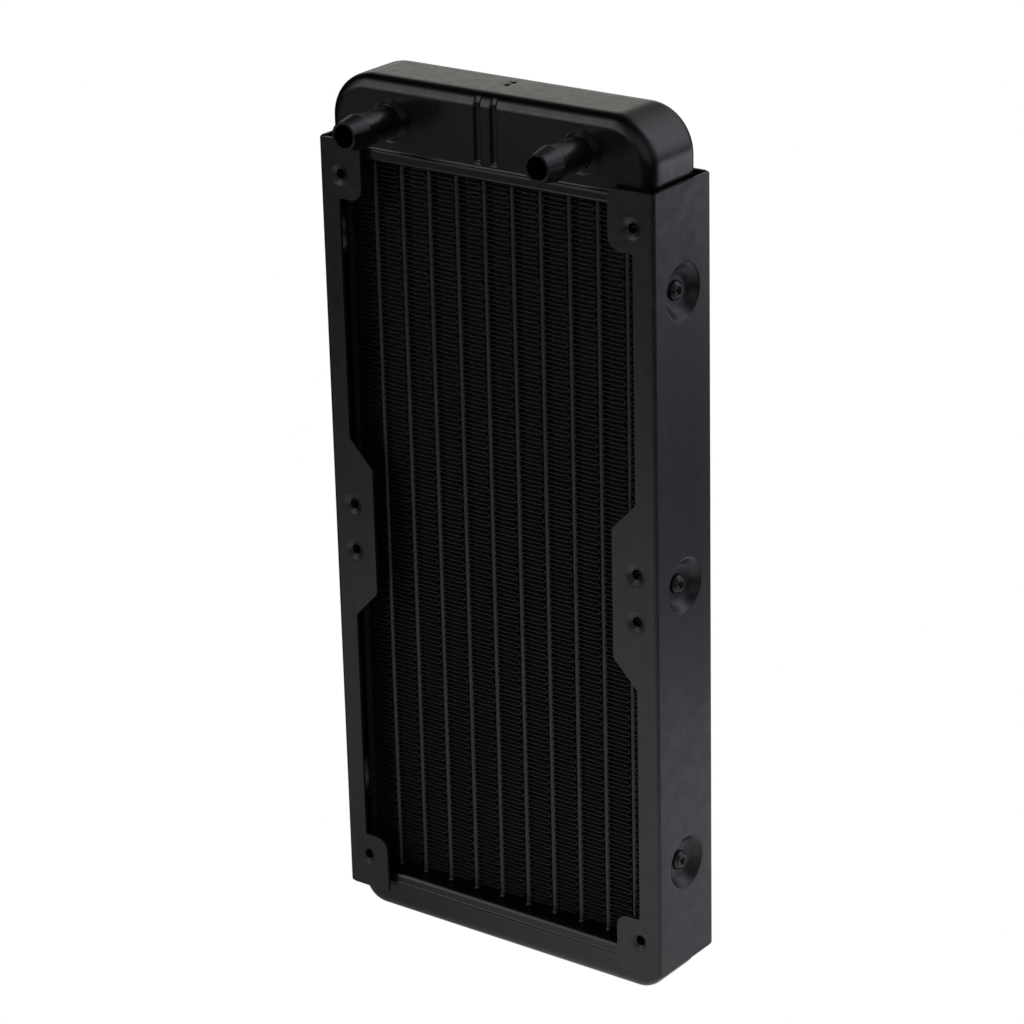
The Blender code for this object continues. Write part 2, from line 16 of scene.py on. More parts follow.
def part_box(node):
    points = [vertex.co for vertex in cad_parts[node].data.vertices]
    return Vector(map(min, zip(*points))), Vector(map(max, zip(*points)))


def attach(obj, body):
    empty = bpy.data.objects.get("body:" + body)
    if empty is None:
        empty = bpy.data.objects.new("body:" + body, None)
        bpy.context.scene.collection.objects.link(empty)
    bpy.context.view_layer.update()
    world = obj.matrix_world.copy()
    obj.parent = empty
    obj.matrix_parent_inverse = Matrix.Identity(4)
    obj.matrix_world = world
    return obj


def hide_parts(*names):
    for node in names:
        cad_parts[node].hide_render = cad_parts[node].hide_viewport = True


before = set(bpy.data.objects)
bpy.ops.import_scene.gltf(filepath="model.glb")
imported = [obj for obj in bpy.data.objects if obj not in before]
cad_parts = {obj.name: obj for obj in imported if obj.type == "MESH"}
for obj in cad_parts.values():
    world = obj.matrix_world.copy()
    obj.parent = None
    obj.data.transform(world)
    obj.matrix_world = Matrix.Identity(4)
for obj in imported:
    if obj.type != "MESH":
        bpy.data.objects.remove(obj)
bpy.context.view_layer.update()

MM = 0.001

# ---- places taken from the frame ----


def box_middle(name, axis):
    """Where the middle of a CAD node's box is along an axis: 0, 1 or 2 for x, y or z."""
    low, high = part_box(name)
    return (low[axis] + high[axis]) / 2


panel_low, panel_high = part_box("side_panel_right")
HALF_WIDTH = panel_high.x
HALF_DEPTH = panel_high.y
CORE_Z = box_middle("side_panel_right", 2)
FRAME_HALF = (panel_high.z - panel_low.z) / 2
TAB_EDGE = panel_low.x

tank_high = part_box("top_tank")[1]
TANK_HALF_WIDTH = tank_high.x
TANK_HALF_DEPTH = tank_high.y
TANK_TOP = tank_high.z
header_low, header_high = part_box("top_header")
HEADER_HALF = CORE_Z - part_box("bottom_header")[1].z
HEADER_HEIGHT = header_high.z - header_low.z
HEADER_HALF_WIDTH = header_high.x

tube_low, tube_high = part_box("water_tube_01")
TUBE_THICKNESS = tube_high.x - tube_low.x
TUBE_DEPTH = tube_high.y - tube_low.y
TUBE_X = [box_middle(f"water_tube_{i:02d}", 0) for i in range(1, 11)]
fin_low, fin_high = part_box("fin_strip_01")
FIN_X = [box_middle(f"fin_strip_{i:02d}", 0) for i in range(1, 12)]
FIN_HALF_HEIGHT = (fin_high.z - fin_low.z) / 2
BARB_X = box_middle("hose_barb_right", 0)
BARB_Z = box_middle("hose_barb_right", 2)
BARB_TIP = -TANK_HALF_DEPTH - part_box("hose_barb_right")[0].y
# The dishes and their rivets sit this much above the CAD model's.
RIVET_RISE = 0.8 * MM
RIVET_Z = [RIVET_RISE + box_middle(f"rivet_right_{i}", 2) for i in (1, 2, 3)]

# ---- sizes of the fine shape ----

# Sheet thickness, the rounding of cut edges, and how near points must be to be welded.
SHEET = 1.0 * MM
EDGE_ROUNDING = 0.2 * MM
WELD = 0.001 * MM

# Side panels: the folded channel and the outline of its flanges.
BEND_RADIUS = 1.5 * MM
CORNER_DROP = 0.2 * MM
CORNER_RUN = 0.8 * MM
CORNER_ROUND = 0.6 * MM
FLANGE_EDGE = HALF_WIDTH - 7.2 * MM
END_TAB = FRAME_HALF - 18.25 * MM
TAB_CORNER = 4.0 * MM
TAB_END_ROUND = 0.4 * MM
TAB_ROOT_ROUND = 0.6 * MM
MIDDLE_TAB = 20.5 * MM
MIDDLE_TAB_CHAMFER = 8.7 * MM
MIDDLE_TAB_ROUND = 1.5 * MM
MIDDLE_TAB_ROOT_ROUND = 2.0 * MM
# Screw holes for two fans, one above the other.
FAN_SIZE = 120 * MM
FAN_HOLE_SPACING = 105 * MM
FAN_HOLE_X = FAN_HOLE_SPACING / 2
FAN_HOLE_Z = [(fan * FAN_SIZE + side * FAN_HOLE_SPACING) / 2 for fan in (-1, 1) for side in (-1, 1)]

# The pressed cone round each screw hole, and the pressed dish round each rivet.
SCREW_CONE = 4.0 * MM
SCREW_HOLE = 1.6 * MM
SCREW_CONE_DEPTH = 0.85 * MM
SCREW_CONE_RIM = 2.2 * MM
SCREW_CONE_FOOT = 0.1 * MM
SCREW_CONE_SLOPE = math.radians(42)
SCREW_BORE_DEPTH = 2.6 * MM
DISH_RADIUS = 9.0 * MM
DISH_FLOOR = 4.2 * MM
DISH_DEPTH = 3.0 * MM
DISH_RIM = 1.0 * MM
DISH_FOOT = 3.0 * MM
DISH_SLOPE = math.radians(50)

# Rivets: a domed head round a small crater, and a shank in the dish's hole.
RIVET_HOLE = 1.7 * MM
RIVET_HEAD = 3.2 * MM
RIVET_HEAD_RISE = 1.6 * MM
RIVET_HEAD_GAP = 0.02 * MM
RIVET_SHANK = 1.5 * MM
RIVET_SHANK_LENGTH = 3.5 * MM
RIVET_BORE = 0.7 * MM
RIVET_CRATER = 1.15 * MM
RIVET_CRATER_RIM = 1.3 * MM
RIVET_CRATER_DEPTH = 0.7 * MM

# Tanks. A rim fullness of 2 is a round rim, and a higher one is squarer.
SEAM_GAP = 0.3 * MM
TIGHT_SEAM_GAP = 0.04 * MM
TANK_SEAM = header_high.z + SEAM_GAP
TANK_WALL = 1.1 * MM
TANK_EDGE_ROUNDING = 0.1 * MM
TANK_RIM = 4.8 * MM
RIM_FULLNESS = 2.4
TOP_SHOULDER = 14.3 * MM
BOTTOM_SHOULDER = 8.5 * MM
SKIRT_INSET = 1.6 * MM
SKIRT_DROP = 2.7 * MM
FOOT_BEAD = 0.6 * MM
# The bead at a tank's foot, and its skirt, as (outward, height) from the seam.
FOOT_SECTION = [(0.05 * MM, 0.4 * MM), (0.16 * MM, 0.22 * MM), (0.26 * MM, 0.1 * MM),
                (0.26 * MM, -0.02 * MM), (0.12 * MM, -0.1 * MM), (-SKIRT_INSET, -0.12 * MM),
                (-SKIRT_INSET, -SKIRT_DROP)]
GROOVE_X = 2.9 * MM
GROOVE_HALF_WIDTH = 1.4 * MM
GROOVE_WALL_SHARE = 0.6
GROOVE_DEPTH = 0.8 * MM
GROOVE_FOOT = 1.0 * MM
GROOVE_RUN = 1.2 * MM
GROOVE_FADE = math.radians(58)
# Two small hanging marks on the top tank, and the ripples that drawing leaves on the tanks' ends.
MARK_RADIUS = 1.15 * MM
MARK_X = -1.0 * MM
MARK_Y = (0.4 * MM, 3.5 * MM)
MARK_SECTION = [(0.0, 0.0), (0.15 * MM, 0.06 * MM), (0.35 * MM, 0.25 * MM), (0.6 * MM, 0.3 * MM)]
RIPPLE_WIDTH = 1.5 * MM
RIPPLE_LENGTH = 14 * MM
RIPPLE_DEPTH = 0.09 * MM

# Hose barbs: radii from the tank's hole to the spigot inside it, then lengths.
BARB_HOLE = 4.7 * MM
BARB_BORE = 3.45 * MM
BARB_NOSE = 4.2 * MM
BARB_CREST = 5.42 * MM
BARB_LAND = 5.4 * MM
BARB_NECK = 4.9 * MM
BARB_NECK_ROOT = 4.95 * MM
BARB_SPIGOT = 4.4 * MM
BARB_SPIGOT_LENGTH = 2.2 * MM
BARB_CONE_LENGTH = 6.0 * MM
BARB_LAND_LENGTH = 0.9 * MM
BARB_RING_START = 1.2 * MM
# The rings at a barb's root: crest radius and height, then foot radius, height and rounding.
BARB_RINGS = [(5.3 * MM, 1.45 * MM, 5.5 * MM, 0.75 * MM, 0.06 * MM),
              (5.95 * MM, 1.0 * MM, 6.15 * MM, 0.35 * MM, 0.06 * MM),
              (6.55 * MM, 0.55 * MM, 6.7 * MM, 0.02 * MM, 0.08 * MM)]
BARB_RING_ROUND = 0.09 * MM
# How far each barb is off its mark at the tank, and how far its tip leans, in x and z.
BARB_SET = {
    "left": ((-0.35 * MM, -0.1 * MM), (-0.45 * MM, 0.2 * MM)),
    "right": ((-0.4 * MM, 0.5 * MM), (-0.1 * MM, 0.35 * MM)),
}

# Headers: the slotted plate's lips, and the solder where the tubes enter.
LIP_HALF_LENGTH = 45.5 * MM
LIP_BEND = 1.5 * MM
LIP_CORNER = 1.0 * MM
LIP_LEAN = 0.1 * MM
LIP_EDGE_ROUNDING = 0.18 * MM
# The lip's section above its bend: height from the plate and offset outward.
LIP_ROLL = [(LIP_BEND, LIP_LEAN), (2.8 * MM, 0.0), (3.1 * MM, 0.07 * MM), (3.32 * MM, 0.17 * MM),
            (3.48 * MM, 0.2 * MM), (3.62 * MM, 0.13 * MM), (HEADER_HEIGHT, 0.0)]
SLOT_CLEARANCE = 0.15 * MM
SOLDER_GAP = 0.01 * MM
# The solder's concave bead: offset from the tube and height from the plate.
SOLDER_SECTION = [(0.02 * MM, 0.0), (0.9 * MM, 0.0), (0.5 * MM, 0.1 * MM), (0.24 * MM, 0.3 * MM),
                  (0.1 * MM, 0.6 * MM), (0.02 * MM, 0.9 * MM)]

# Core: flat tubes, and louvred fins whose crests sit a little unevenly.
TUBE_WALL = 0.35 * MM
FIN_PITCH = 1.39 * MM
CREST_SCATTER = 0.035 * MM
CREST_SLANT = 0.05 * MM
FOIL = 0.16 * MM
FIN_REACH = 4.06 * MM
LOUVRES = 12
LOUVRE_MARGIN = 0.9 * MM
NOSE_LIFT = 0.26 * MM
LOUVRE_HALF_SPAN = 3.05 * MM
LOUVRE_TWIST_RUN = 0.5 * MM
LOUVRE_ANGLE = math.radians(20)

# ---- finishes ----

DRAWN_STRETCH = (1, 1, 0.03)
DRAWN_RIPPLE_STRETCH = (1, 1, 0.04)
DRAWN_RIPPLE_DEPTH = 0.02 * MM
CORE_GRAIN_DEPTH = 0.01 * MM
# How far back from the core's front edges their painted light reaches.
PAINTED_NOSE_LIGHT_WIDTH = 0.8 * MM
# The thin coat on the core reflects a little less blue.
CORE_SPECULAR_TINT = (1.0, 1.0, 0.93, 1.0)
# The colour sockets of a Mix node, whose other sockets have the same names.
MIX_FIRST = 6
MIX_SECOND = 7
MIX_RESULT = 2

# ---- lights ----

# The light's tint up to each azimuth: cool on the right, warm behind, nearly white in front.
TINTS = [(60, (0.975, 0.98, 1.13)), (180, (1.02, 1.02, 0.95)), (360, (0.99, 0.99, 1.04))]
# Each glow of the room: azimuth, elevation, sharpness, strength.
ROOM_GLOWS = [
    (233, 8, 30, 1.80),
    (226, 34, 30, 1.45),
    (127, 10, 40, 0.75),
    (90, 30, 12, 0.40),
    (53, 12, 20, 1.02),
    (53, 45, 15, 1.30),
    (20, 25, 15, 0.32),
    (320, 15, 12, 0.39),
    (280, 15, 12, 0.36),
    (300, 45, 12, 0.12),
]
# Each glow of the floor: azimuth, distance, radius, strength.
FLOOR_GLOWS = [
    (233, 0.16, 0.08, 0.15),
    (233, 0.32, 0.10, 0.38),
    (233, 1.20, 0.30, 0.29),
    (53, 0.06, 0.06, 0.14),
    (53, 0.18, 0.08, 0.69),
    (53, 0.34, 0.10, 0.16),
    (53, 1.20, 0.30, 1.30),
    (53, 2.30, 0.75, 0.70),
    (307, 0.15, 0.10, 0.73),
    (270, 0.35, 0.15, 0.67),
    (345, 0.35, 0.15, 0.26),
]
FLOOR_SIZE = 12

# ---- camera ----

CAMERA_LENS = 125.89
CAMERA_AZIMUTH = math.radians(36.749)
CAMERA_ELEVATION = math.radians(21.372)
CAMERA_ROLL = math.radians(-1.412)
CAMERA_DISTANCE = 1.0736
# The point it looks at, from the middle of the front: down the part, then right and up in the view.
AIM_DROP = 0.16 * MM
AIM_RIGHT = 6.372 * MM
AIM_UP = 15.241 * MM


# ---- outlines ----


def arc(cx, cy, radius, start, end, steps):
    """Points along an arc, angles in degrees."""
    points = []
    for i in range(steps + 1):
        a = math.radians(start + (end - start) * i / steps)
        points.append((cx + radius * math.cos(a), cy + radius * math.sin(a)))
    return points


def rounded(corners, steps=5):
    """A closed outline through (x, y, radius) corners, each corner rounded by its radius."""
    points = []
    count = len(corners)
    for i, (x, y, radius) in enumerate(corners):
        here = Vector((x, y))
        if radius <= 0:
            points.append((x, y))
            continue
        before = (Vector(corners[i - 1][:2]) - here).normalized()
        after = (Vector(corners[(i + 1) % count][:2]) - here).normalized()
        half_turn = before.angle(after) / 2
        centre = here + (before + after).normalized() * (radius / math.sin(half_turn))
        reach = radius / math.tan(half_turn)
        first = here + before * reach - centre
        last = here + after * reach - centre
        turn = first.angle_signed(last)
        for k in range(steps + 1):
            spoke = first.copy()
            spoke.rotate(Matrix.Rotation(-turn * k / steps, 2))
            points.append(tuple(centre + spoke))
    return points


def circle(radius, steps):
    """A loop maker: a circle that can be drawn smaller by an inset."""
    return lambda inset=0.0: arc(0, 0, radius - inset, 0, 360, steps)[:-1]


def stadium(half_width, half_length, steps=8):
    """A loop maker: a slot shape with round ends along its second axis."""

    def loop(inset=0.0):
        radius = half_width - inset
        reach = half_length - half_width
        return arc(0, reach, radius, 0, 180, steps) + arc(0, -reach, radius, 180, 360, steps)

    return loop


def moved(loop, x, y):
    """A loop moved in its plane."""
    return [(px + x, py + y) for px, py in loop]


def inside(point, loops):
    """True where a point is enclosed by an odd number of loops: in the outline, outside the holes."""
    odd = False
    for loop in loops:
        for (x0, y0), (x1, y1) in zip(loop, loop[1:] + loop[:1]):
            if (y0 > point.y) != (y1 > point.y):
                if point.x < x0 + (x1 - x0) * (point.y - y0) / (y1 - y0):
                    odd = not odd
    return odd


def press_profile(run, depth, rim_radius, foot_radius, slope, steps):
    """(inset, depth) points of a pressed wall: a rounded rim, a slope and a rounded foot.

    The slope takes what the rim and the foot leave of the depth, and the insets are then scaled
    so that the wall ends at the run.
    """
    points = []
    for i in range(steps + 1):
        a = slope * i / steps
        points.append((rim_radius * math.sin(a), rim_radius * (1 - math.cos(a))))
    foot = foot_radius * (1 - math.cos(slope))
    straight = depth - points[-1][1] - foot
    inset = points[-1][0] + straight / math.tan(slope)
    for i in range(steps + 1):
        a = slope * (1 - i / steps)
        x = inset + foot_radius * (math.sin(slope) - math.sin(a))
        points.append((x, depth - foot_radius * (1 - math.cos(a))))
    scale = run / points[-1][0]
    return [(x * scale, y) for x, y in points]


# ---- skins and solids ----


class Skin:
    """The outer skin of a piece, collected face by face and welded when it is finished."""

    def __init__(self):
        self.bm = bmesh.new()

    def patch(self, outline, holes, place):
        """A flat face with holes. place maps (u, v, depth) into space."""
        points = []
        edges = []
        for loop in [outline] + holes:
            start = len(points)
            points += [Vector((x / MM, y / MM)) for x, y in loop]
            edges += [(start + i, start + (i + 1) % len(loop)) for i in range(len(loop))]
        whole_hull = 0
        tolerance = 1e-5
        flat, _, triangles, *_ = delaunay_2d_cdt(points, edges, [], whole_hull, tolerance)
        verts = [self.bm.verts.new(place(p.x * MM, p.y * MM, 0.0)) for p in flat]
        for triangle in triangles:
            centre = sum((flat[i] for i in triangle), Vector((0, 0))) * (MM / 3)
            if inside(centre, [outline] + holes):
                self.bm.faces.new([verts[i] for i in triangle])

    def grid(self, rows, closed=False, looped=False):
        """Quads between rows of points.

        closed joins the two ends of each row, and looped joins the last row to the first.
        """
        lines = [[self.bm.verts.new(p) for p in row] for row in rows]
        if looped:
            lines.append(lines[0])
        for upper, lower in zip(lines, lines[1:]):
            count = len(upper)
            for i in range(count if closed else count - 1):
                j = (i + 1) % count
                self.bm.faces.new((upper[i], upper[j], lower[j], lower[i]))

    def pressed(self, outline, features, place, capped=False):
        """A flat face with pressed features, each (loop, profile, x, y).

        The loop is drawn smaller and deeper along its profile of (inset, depth).
        """
        self.patch(outline, [moved(loop(), x, y) for loop, profile, x, y in features], place)
        for loop, profile, x, y in features:
            rows = []
            for inset, depth in profile:
                rows.append([place(px, py, depth) for px, py in moved(loop(inset), x, y)])
            self.grid(rows, closed=True)
            if capped:
                self.bm.faces.new([self.bm.verts.new(p) for p in rows[-1]])

    def weld(self):
        """Join the points that patches, bends and features share."""
        bmesh.ops.remove_doubles(self.bm, verts=self.bm.verts, dist=WELD)

    def finish(self, name, outward, thickness=0.0):
        """Make the object, facing outward, and thicken it inwards if it is sheet."""
        self.weld()
        bmesh.ops.recalc_face_normals(self.bm, faces=self.bm.faces)
        outward = Vector(outward)
        outermost = max(self.bm.faces, key=lambda f: f.calc_center_median().dot(outward))
        if outermost.normal.dot(outward) < 0:
            bmesh.ops.reverse_faces(self.bm, faces=self.bm.faces)
        mesh = bpy.data.meshes.new(name)
        self.bm.to_mesh(mesh)
        self.bm.free()
        obj = bpy.data.objects.new(name, mesh)
        bpy.context.scene.collection.objects.link(obj)
        if thickness:
            wall = obj.modifiers.new("wall", "SOLIDIFY")
            wall.thickness = thickness
            wall.offset = -1
            wall.use_even_offset = True
        return obj


def round_edges(obj, width=EDGE_ROUNDING, segments=2):
    """Take the sharpness off the cut edges of a piece."""
    bevel = obj.modifiers.new("edges", "BEVEL")
    bevel.width = width
    bevel.segments = segments
    bevel.limit_method = "ANGLE"
    bevel.angle_limit = math.radians(50)
    bevel.use_clamp_overlap = True


def apply_modifiers(obj):
    """Turn a piece and its modifiers into a plain mesh, shaded smooth between sharp edges."""
    bpy.context.view_layer.update()
    graph = bpy.context.evaluated_depsgraph_get()
    mesh = bpy.data.meshes.new_from_object(obj.evaluated_get(graph))
    mesh.name = obj.name
    obj.modifiers.clear()
    obj.data = mesh
    mesh.shade_smooth()
    mesh.set_sharp_from_angle(angle=math.radians(38))
    weigh = obj.modifiers.new("flats", "WEIGHTED_NORMAL")
    weigh.keep_sharp = True


def loop_solid(name, loop, section, place):
    """A ring-shaped solid: a closed section of (offset, height) carried around a loop."""
    skin = Skin()
    rows = [[place(x, y, height) for x, y in loop(-offset)] for offset, height in section]
    skin.grid(rows, closed=True, looped=True)
    return skin.finish(name, (0, 0, 1))


def dress(obj, material, slot, *nodes):
    """Finish a piece: its plain mesh, its material, its body and the CAD nodes it stands for."""
    apply_modifiers(obj)
    obj.data.materials.clear()
    obj.data.materials.append(material)
    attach(obj, "root")
    if nodes:
        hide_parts(*nodes)
    return obj


# ---- side panels ----


def flange_outline():
    """Front view of a flange with its two end tabs and its middle tab, in x and z from the centre."""
    bend = HALF_WIDTH - BEND_RADIUS
    chamfer_end = MIDDLE_TAB + MIDDLE_TAB_CHAMFER
    upper = [
        (TAB_EDGE, MIDDLE_TAB, MIDDLE_TAB_ROUND),
        (FLANGE_EDGE, chamfer_end, MIDDLE_TAB_ROOT_ROUND),
        (FLANGE_EDGE, END_TAB, TAB_ROOT_ROUND),
        (TAB_EDGE, END_TAB, TAB_CORNER),
        (TAB_EDGE, FRAME_HALF, TAB_END_ROUND),
        (bend - CORNER_RUN, FRAME_HALF, CORNER_ROUND),
        (bend, FRAME_HALF - CORNER_DROP, 0.0),
    ]
    lower = [(x, -z, radius) for x, z, radius in reversed(upper)]
    return rounded(lower + upper)


def wall_outline():
    """Side view of a panel's flat wall, in y and z from the centre."""
    bend = HALF_DEPTH - BEND_RADIUS
    corners = [
        (bend, FRAME_HALF - CORNER_DROP, 0.0),
        (bend - CORNER_RUN, FRAME_HALF, CORNER_ROUND),
    ]
    upper = corners + [(-y, z, radius) for y, z, radius in reversed(corners)]
    return rounded(upper + [(y, -z, radius) for y, z, radius in reversed(upper)])


def screw_cone():
    """The loop and the profile of the pressed cone round a screw hole."""
    run = SCREW_CONE - SCREW_HOLE
    profile = press_profile(run, SCREW_CONE_DEPTH, SCREW_CONE_RIM, SCREW_CONE_FOOT, SCREW_CONE_SLOPE,
                            steps=7)
    profile.append((run, SCREW_BORE_DEPTH))
    return circle(SCREW_CONE, steps=32), profile


def rivet_dish():
    """The loop and the profile of the pressed dish round a rivet."""
    run = DISH_RADIUS - DISH_FLOOR
    profile = press_profile(run, DISH_DEPTH, DISH_RIM, DISH_FOOT, DISH_SLOPE, steps=8)
    profile.append((DISH_RADIUS - RIVET_HOLE, DISH_DEPTH))
    return circle(DISH_RADIUS, steps=56), profile


def side_panel(side, name, node, material):
    """A folded channel with screw tabs, pressed screw cones and pressed rivet dishes."""
    skin = Skin()
    screws = [(*screw_cone(), FAN_HOLE_X, z) for z in FAN_HOLE_Z]
    dishes = [(*rivet_dish(), 0, z - CORE_Z) for z in RIVET_Z]
    for face in (-1, 1):
        def flange(u, v, depth, face=face):
            return Vector((side * u, face * (HALF_DEPTH - depth), CORE_Z + v))
        skin.pressed(flange_outline(), screws, flange)
        rows = []
        bend = arc(HALF_WIDTH - BEND_RADIUS, HALF_DEPTH - BEND_RADIUS, BEND_RADIUS, 90, 0, 6)
        for i, (x, y) in enumerate(bend):
            half = FRAME_HALF - CORNER_DROP * (1 + math.sin(math.pi * i / (len(bend) - 1)))
            rows.append([Vector((side * x, face * y, CORE_Z + end)) for end in (-half, half)])
        skin.grid(rows)

    def wall(u, v, depth):
        return Vector((side * (HALF_WIDTH - depth), u, CORE_Z + v))

    skin.pressed(wall_outline(), dishes, wall)
    panel = skin.finish(name, (side, 0, 0), SHEET)
    round_edges(panel)
    return dress(panel, material, "panel_paint", node)


def rivet(side, z, name, node, material):
    """A blind rivet: domed head, sunk mandrel hole, shank through the dish and the side plate."""
    base = HALF_WIDTH - DISH_DEPTH
    top = base + RIVET_HEAD_RISE
    end = base - RIVET_SHANK_LENGTH
    section = rounded([
        (RIVET_BORE, top - 0.75 * MM, 0.1 * MM),
        (RIVET_CRATER, top - RIVET_CRATER_DEPTH, 0.15 * MM),
        (RIVET_CRATER_RIM, top - 0.05 * MM, 0.2 * MM),
        (RIVET_HEAD * 0.6, top, 0.6 * MM),
        (RIVET_HEAD * 0.9, base + 0.75 * MM, 0.6 * MM),
        (RIVET_HEAD, base + RIVET_HEAD_GAP, 0.12 * MM),
        (RIVET_SHANK, base + RIVET_HEAD_GAP, 0.0),
        (RIVET_SHANK, end, 0.1 * MM),
        (RIVET_BORE, end, 0.1 * MM),
    ])

    def place(u, v, height):
        return Vector((side * height, u, z + v))

    obj = loop_solid(name, circle(0.0, steps=36), section, place)
    return dress(obj, material, "rivet_paint", node)


# ---- tanks ----


def groove_columns():
    """Stations across a groove, closer on its walls."""
    shares = (1, 0.88, 0.76, 0.64, 0.52, 0.4, 0, -0.4, -0.52, -0.64, -0.76, -0.88, -1)
    return [GROOVE_HALF_WIDTH * share for share in shares]


def groove_rows(rim_z):
    """Heights along a groove from its foot to the rounded rim, closer at its foot."""
    run_steps = 7
    rise_steps = 5
    rows = [GROOVE_FOOT + GROOVE_RUN * i / run_steps for i in range(run_steps + 1)]
    start = rows[-1]
    return rows + [start + (rim_z - start) * i / rise_steps for i in range(1, rise_steps + 1)]


def tank_path(height, shoulder, grooves):
    """Front view of a tank from its right foot over the top to its left foot.

    Each point is (x, z, outward x, outward z). Returns the path and where its top starts and ends.
    """
    side_steps = 6
    right = []
    for i in range(side_steps):
        z = FOOT_BEAD + (height - shoulder - FOOT_BEAD) * i / side_steps
        right.append((TANK_HALF_WIDTH, z, 1.0, 0.0))
    arc_steps = 18
    for i in range(arc_steps + 1):
        a = math.pi / 2 * i / arc_steps
        nx, nz = math.cos(a), math.sin(a)
        x = TANK_HALF_WIDTH - shoulder + shoulder * nx
        right.append((x, height - shoulder + shoulder * nz, nx, nz))
    left = [(-x, z, -nx, nz) for x, z, nx, nz in reversed(right)]
    top = [(x + offset, height, 0.0, 1.0) for x in grooves for offset in groove_columns()]
    return right + top + left, len(right) - 1, len(right) + len(top)


def ease(share):
    """A smooth step from 0 to 1."""
    share = min(max(share, 0.0), 1.0)
    return share * share * (3 - 2 * share)


def rim_section():
    """(y, rise) points across a tank: rounded rim, flat middle, rounded rim.

    Returns the points and the places in them where the flat starts and ends.
    """
    steps = 12
    middle_steps = 44
    power = 2 / RIM_FULLNESS
    front = []
    for i in range(steps + 1):
        a = math.pi / 2 * (i / steps)
        y = -TANK_HALF_DEPTH + TANK_RIM * (1 - math.cos(a) ** power)
        front.append((y, TANK_RIM * math.sin(a) ** power))
    flat = TANK_HALF_DEPTH - TANK_RIM
    front[-1] = (-flat, TANK_RIM)
    middle = [(-flat + 2 * flat * i / middle_steps, TANK_RIM) for i in range(1, middle_steps)]
    back = [(-y, rise) for y, rise in reversed(front)]
    return front + middle + back, len(front) - 1, len(front) + len(middle)


def draw_marks(point):
    """The slight upright ripples that deep drawing leaves on a tank's ends."""
    x, y, z = point
    seed = 3.0 if x > 0 else 9.0
    ripple = noise.noise(Vector((y / RIPPLE_WIDTH, z / RIPPLE_LENGTH, seed)))
    return Vector((math.copysign(RIPPLE_DEPTH * ripple, x), 0, 0))


class Cup:
    """A tank's shape, drawn standing on its foot: a front view carried across a section."""

    def __init__(self, height, shoulder, grooves):
        self.height = height
        self.straight = height - shoulder
        self.rim_z = height - TANK_RIM
        self.grooves = grooves
        self.path, self.top_start, self.top_end = tank_path(height, shoulder, grooves)
        self.section, self.flat_start, self.flat_end = rim_section()

    def point(self, station, across):
        """The point of the skin at a place along the path and a place across it."""
        x, z, nx, nz = self.path[station]
        y, rise = self.section[across]
        return Vector((x - nx * (TANK_RIM - rise), y, z - nz * (TANK_RIM - rise)))

    def ends(self, skin):
        """The two ends with their shoulders, rippled below the shoulders."""
        flat = range(self.flat_start + 1, self.flat_end)
        for first, last in ((0, self.top_start), (self.top_end, len(self.path) - 1)):
            rows = []
            for station in range(first, last + 1):
                row = [self.point(station, across) for across in range(len(self.section))]
                if self.path[station][1] < self.straight:
                    row = [p + draw_marks(p) if i in flat else p for i, p in enumerate(row)]
                rows.append(row)
            skin.grid(rows)

    def top(self, skin, marks):
        """The two rims along the top, and the flat between them with its pressed marks."""
        for first, last in ((0, self.flat_start), (self.flat_end, len(self.section) - 1)):
            rows = []
            for station in range(self.top_start, self.top_end + 1):
                rows.append([self.point(station, across) for across in range(first, last + 1)])
            skin.grid(rows)
        half = [self.point(self.top_start, i) for i in range(self.flat_start, self.flat_end + 1)]
        half += [self.point(i, self.flat_end) for i in range(self.top_start + 1, self.top_end)]
        outline = [(p.x, p.y) for p in half] + [(-p.x, -p.y) for p in half]

        def place(u, v, depth):
            return Vector((u, v, self.height - depth))

        skin.pressed(outline, marks, place, capped=True)

    def face_outline(self):
        """Outline of a flat face, with a notch for each groove's own grid."""
        inner = [(x - nx * TANK_RIM, z - nz * TANK_RIM) for x, z, nx, nz in self.path]
        notches = []
        rows = groove_rows(self.rim_z)
        columns = groove_columns()
        for x in self.grooves:
            notches += [(x + columns[0], z) for z in reversed(rows)]
            notches += [(x + offset, rows[0]) for offset in columns[1:-1]]
            notches += [(x + columns[-1], z) for z in rows]
        return inner[:self.top_start + 1] + notches + inner[self.top_end:]

    def faces(self, skin, holes):
        """The flat front, with holes for the barbs, and the flat back, each with its groove grids."""
        outline = self.face_outline()
        for face in (-1, 1):
            def place(u, v, depth, face=face):
                return Vector((u, face * (TANK_HALF_DEPTH - depth), v))
            cuts = [moved(loop(), x, z) for loop, x, z in holes] if face < 0 else []
            skin.patch(outline, cuts, place)
            for groove in self.grooves:
                rows = []
                for z in groove_rows(self.rim_z):
                    rows.append([place(groove + offset, z, 0.0) for offset in groove_columns()])
                skin.grid(rows)

    def press_grooves(self, bm):
        """Sink the grooves into the welded skin; they fade out at the foot and on the rounded rim."""
        for vert in bm.verts:
            x, y, z = vert.co
            near = min(abs(x - groove) for groove in self.grooves)
            if near > GROOVE_HALF_WIDTH or z < GROOVE_FOOT or z > self.height - WELD:
                continue
            centre = Vector((x, math.copysign(TANK_HALF_DEPTH - TANK_RIM, y), min(z, self.rim_z)))
            rise = max(0.0, z - self.rim_z) / TANK_RIM
            climb = math.asin(min(1.0, rise) ** (RIM_FULLNESS / 2))
            along = ease((z - GROOVE_FOOT) / GROOVE_RUN) * (1 - ease(climb / GROOVE_FADE))
            across = ease((1 - near / GROOVE_HALF_WIDTH) / GROOVE_WALL_SHARE)
            vert.co += (centre - vert.co).normalized() * GROOVE_DEPTH * along * across


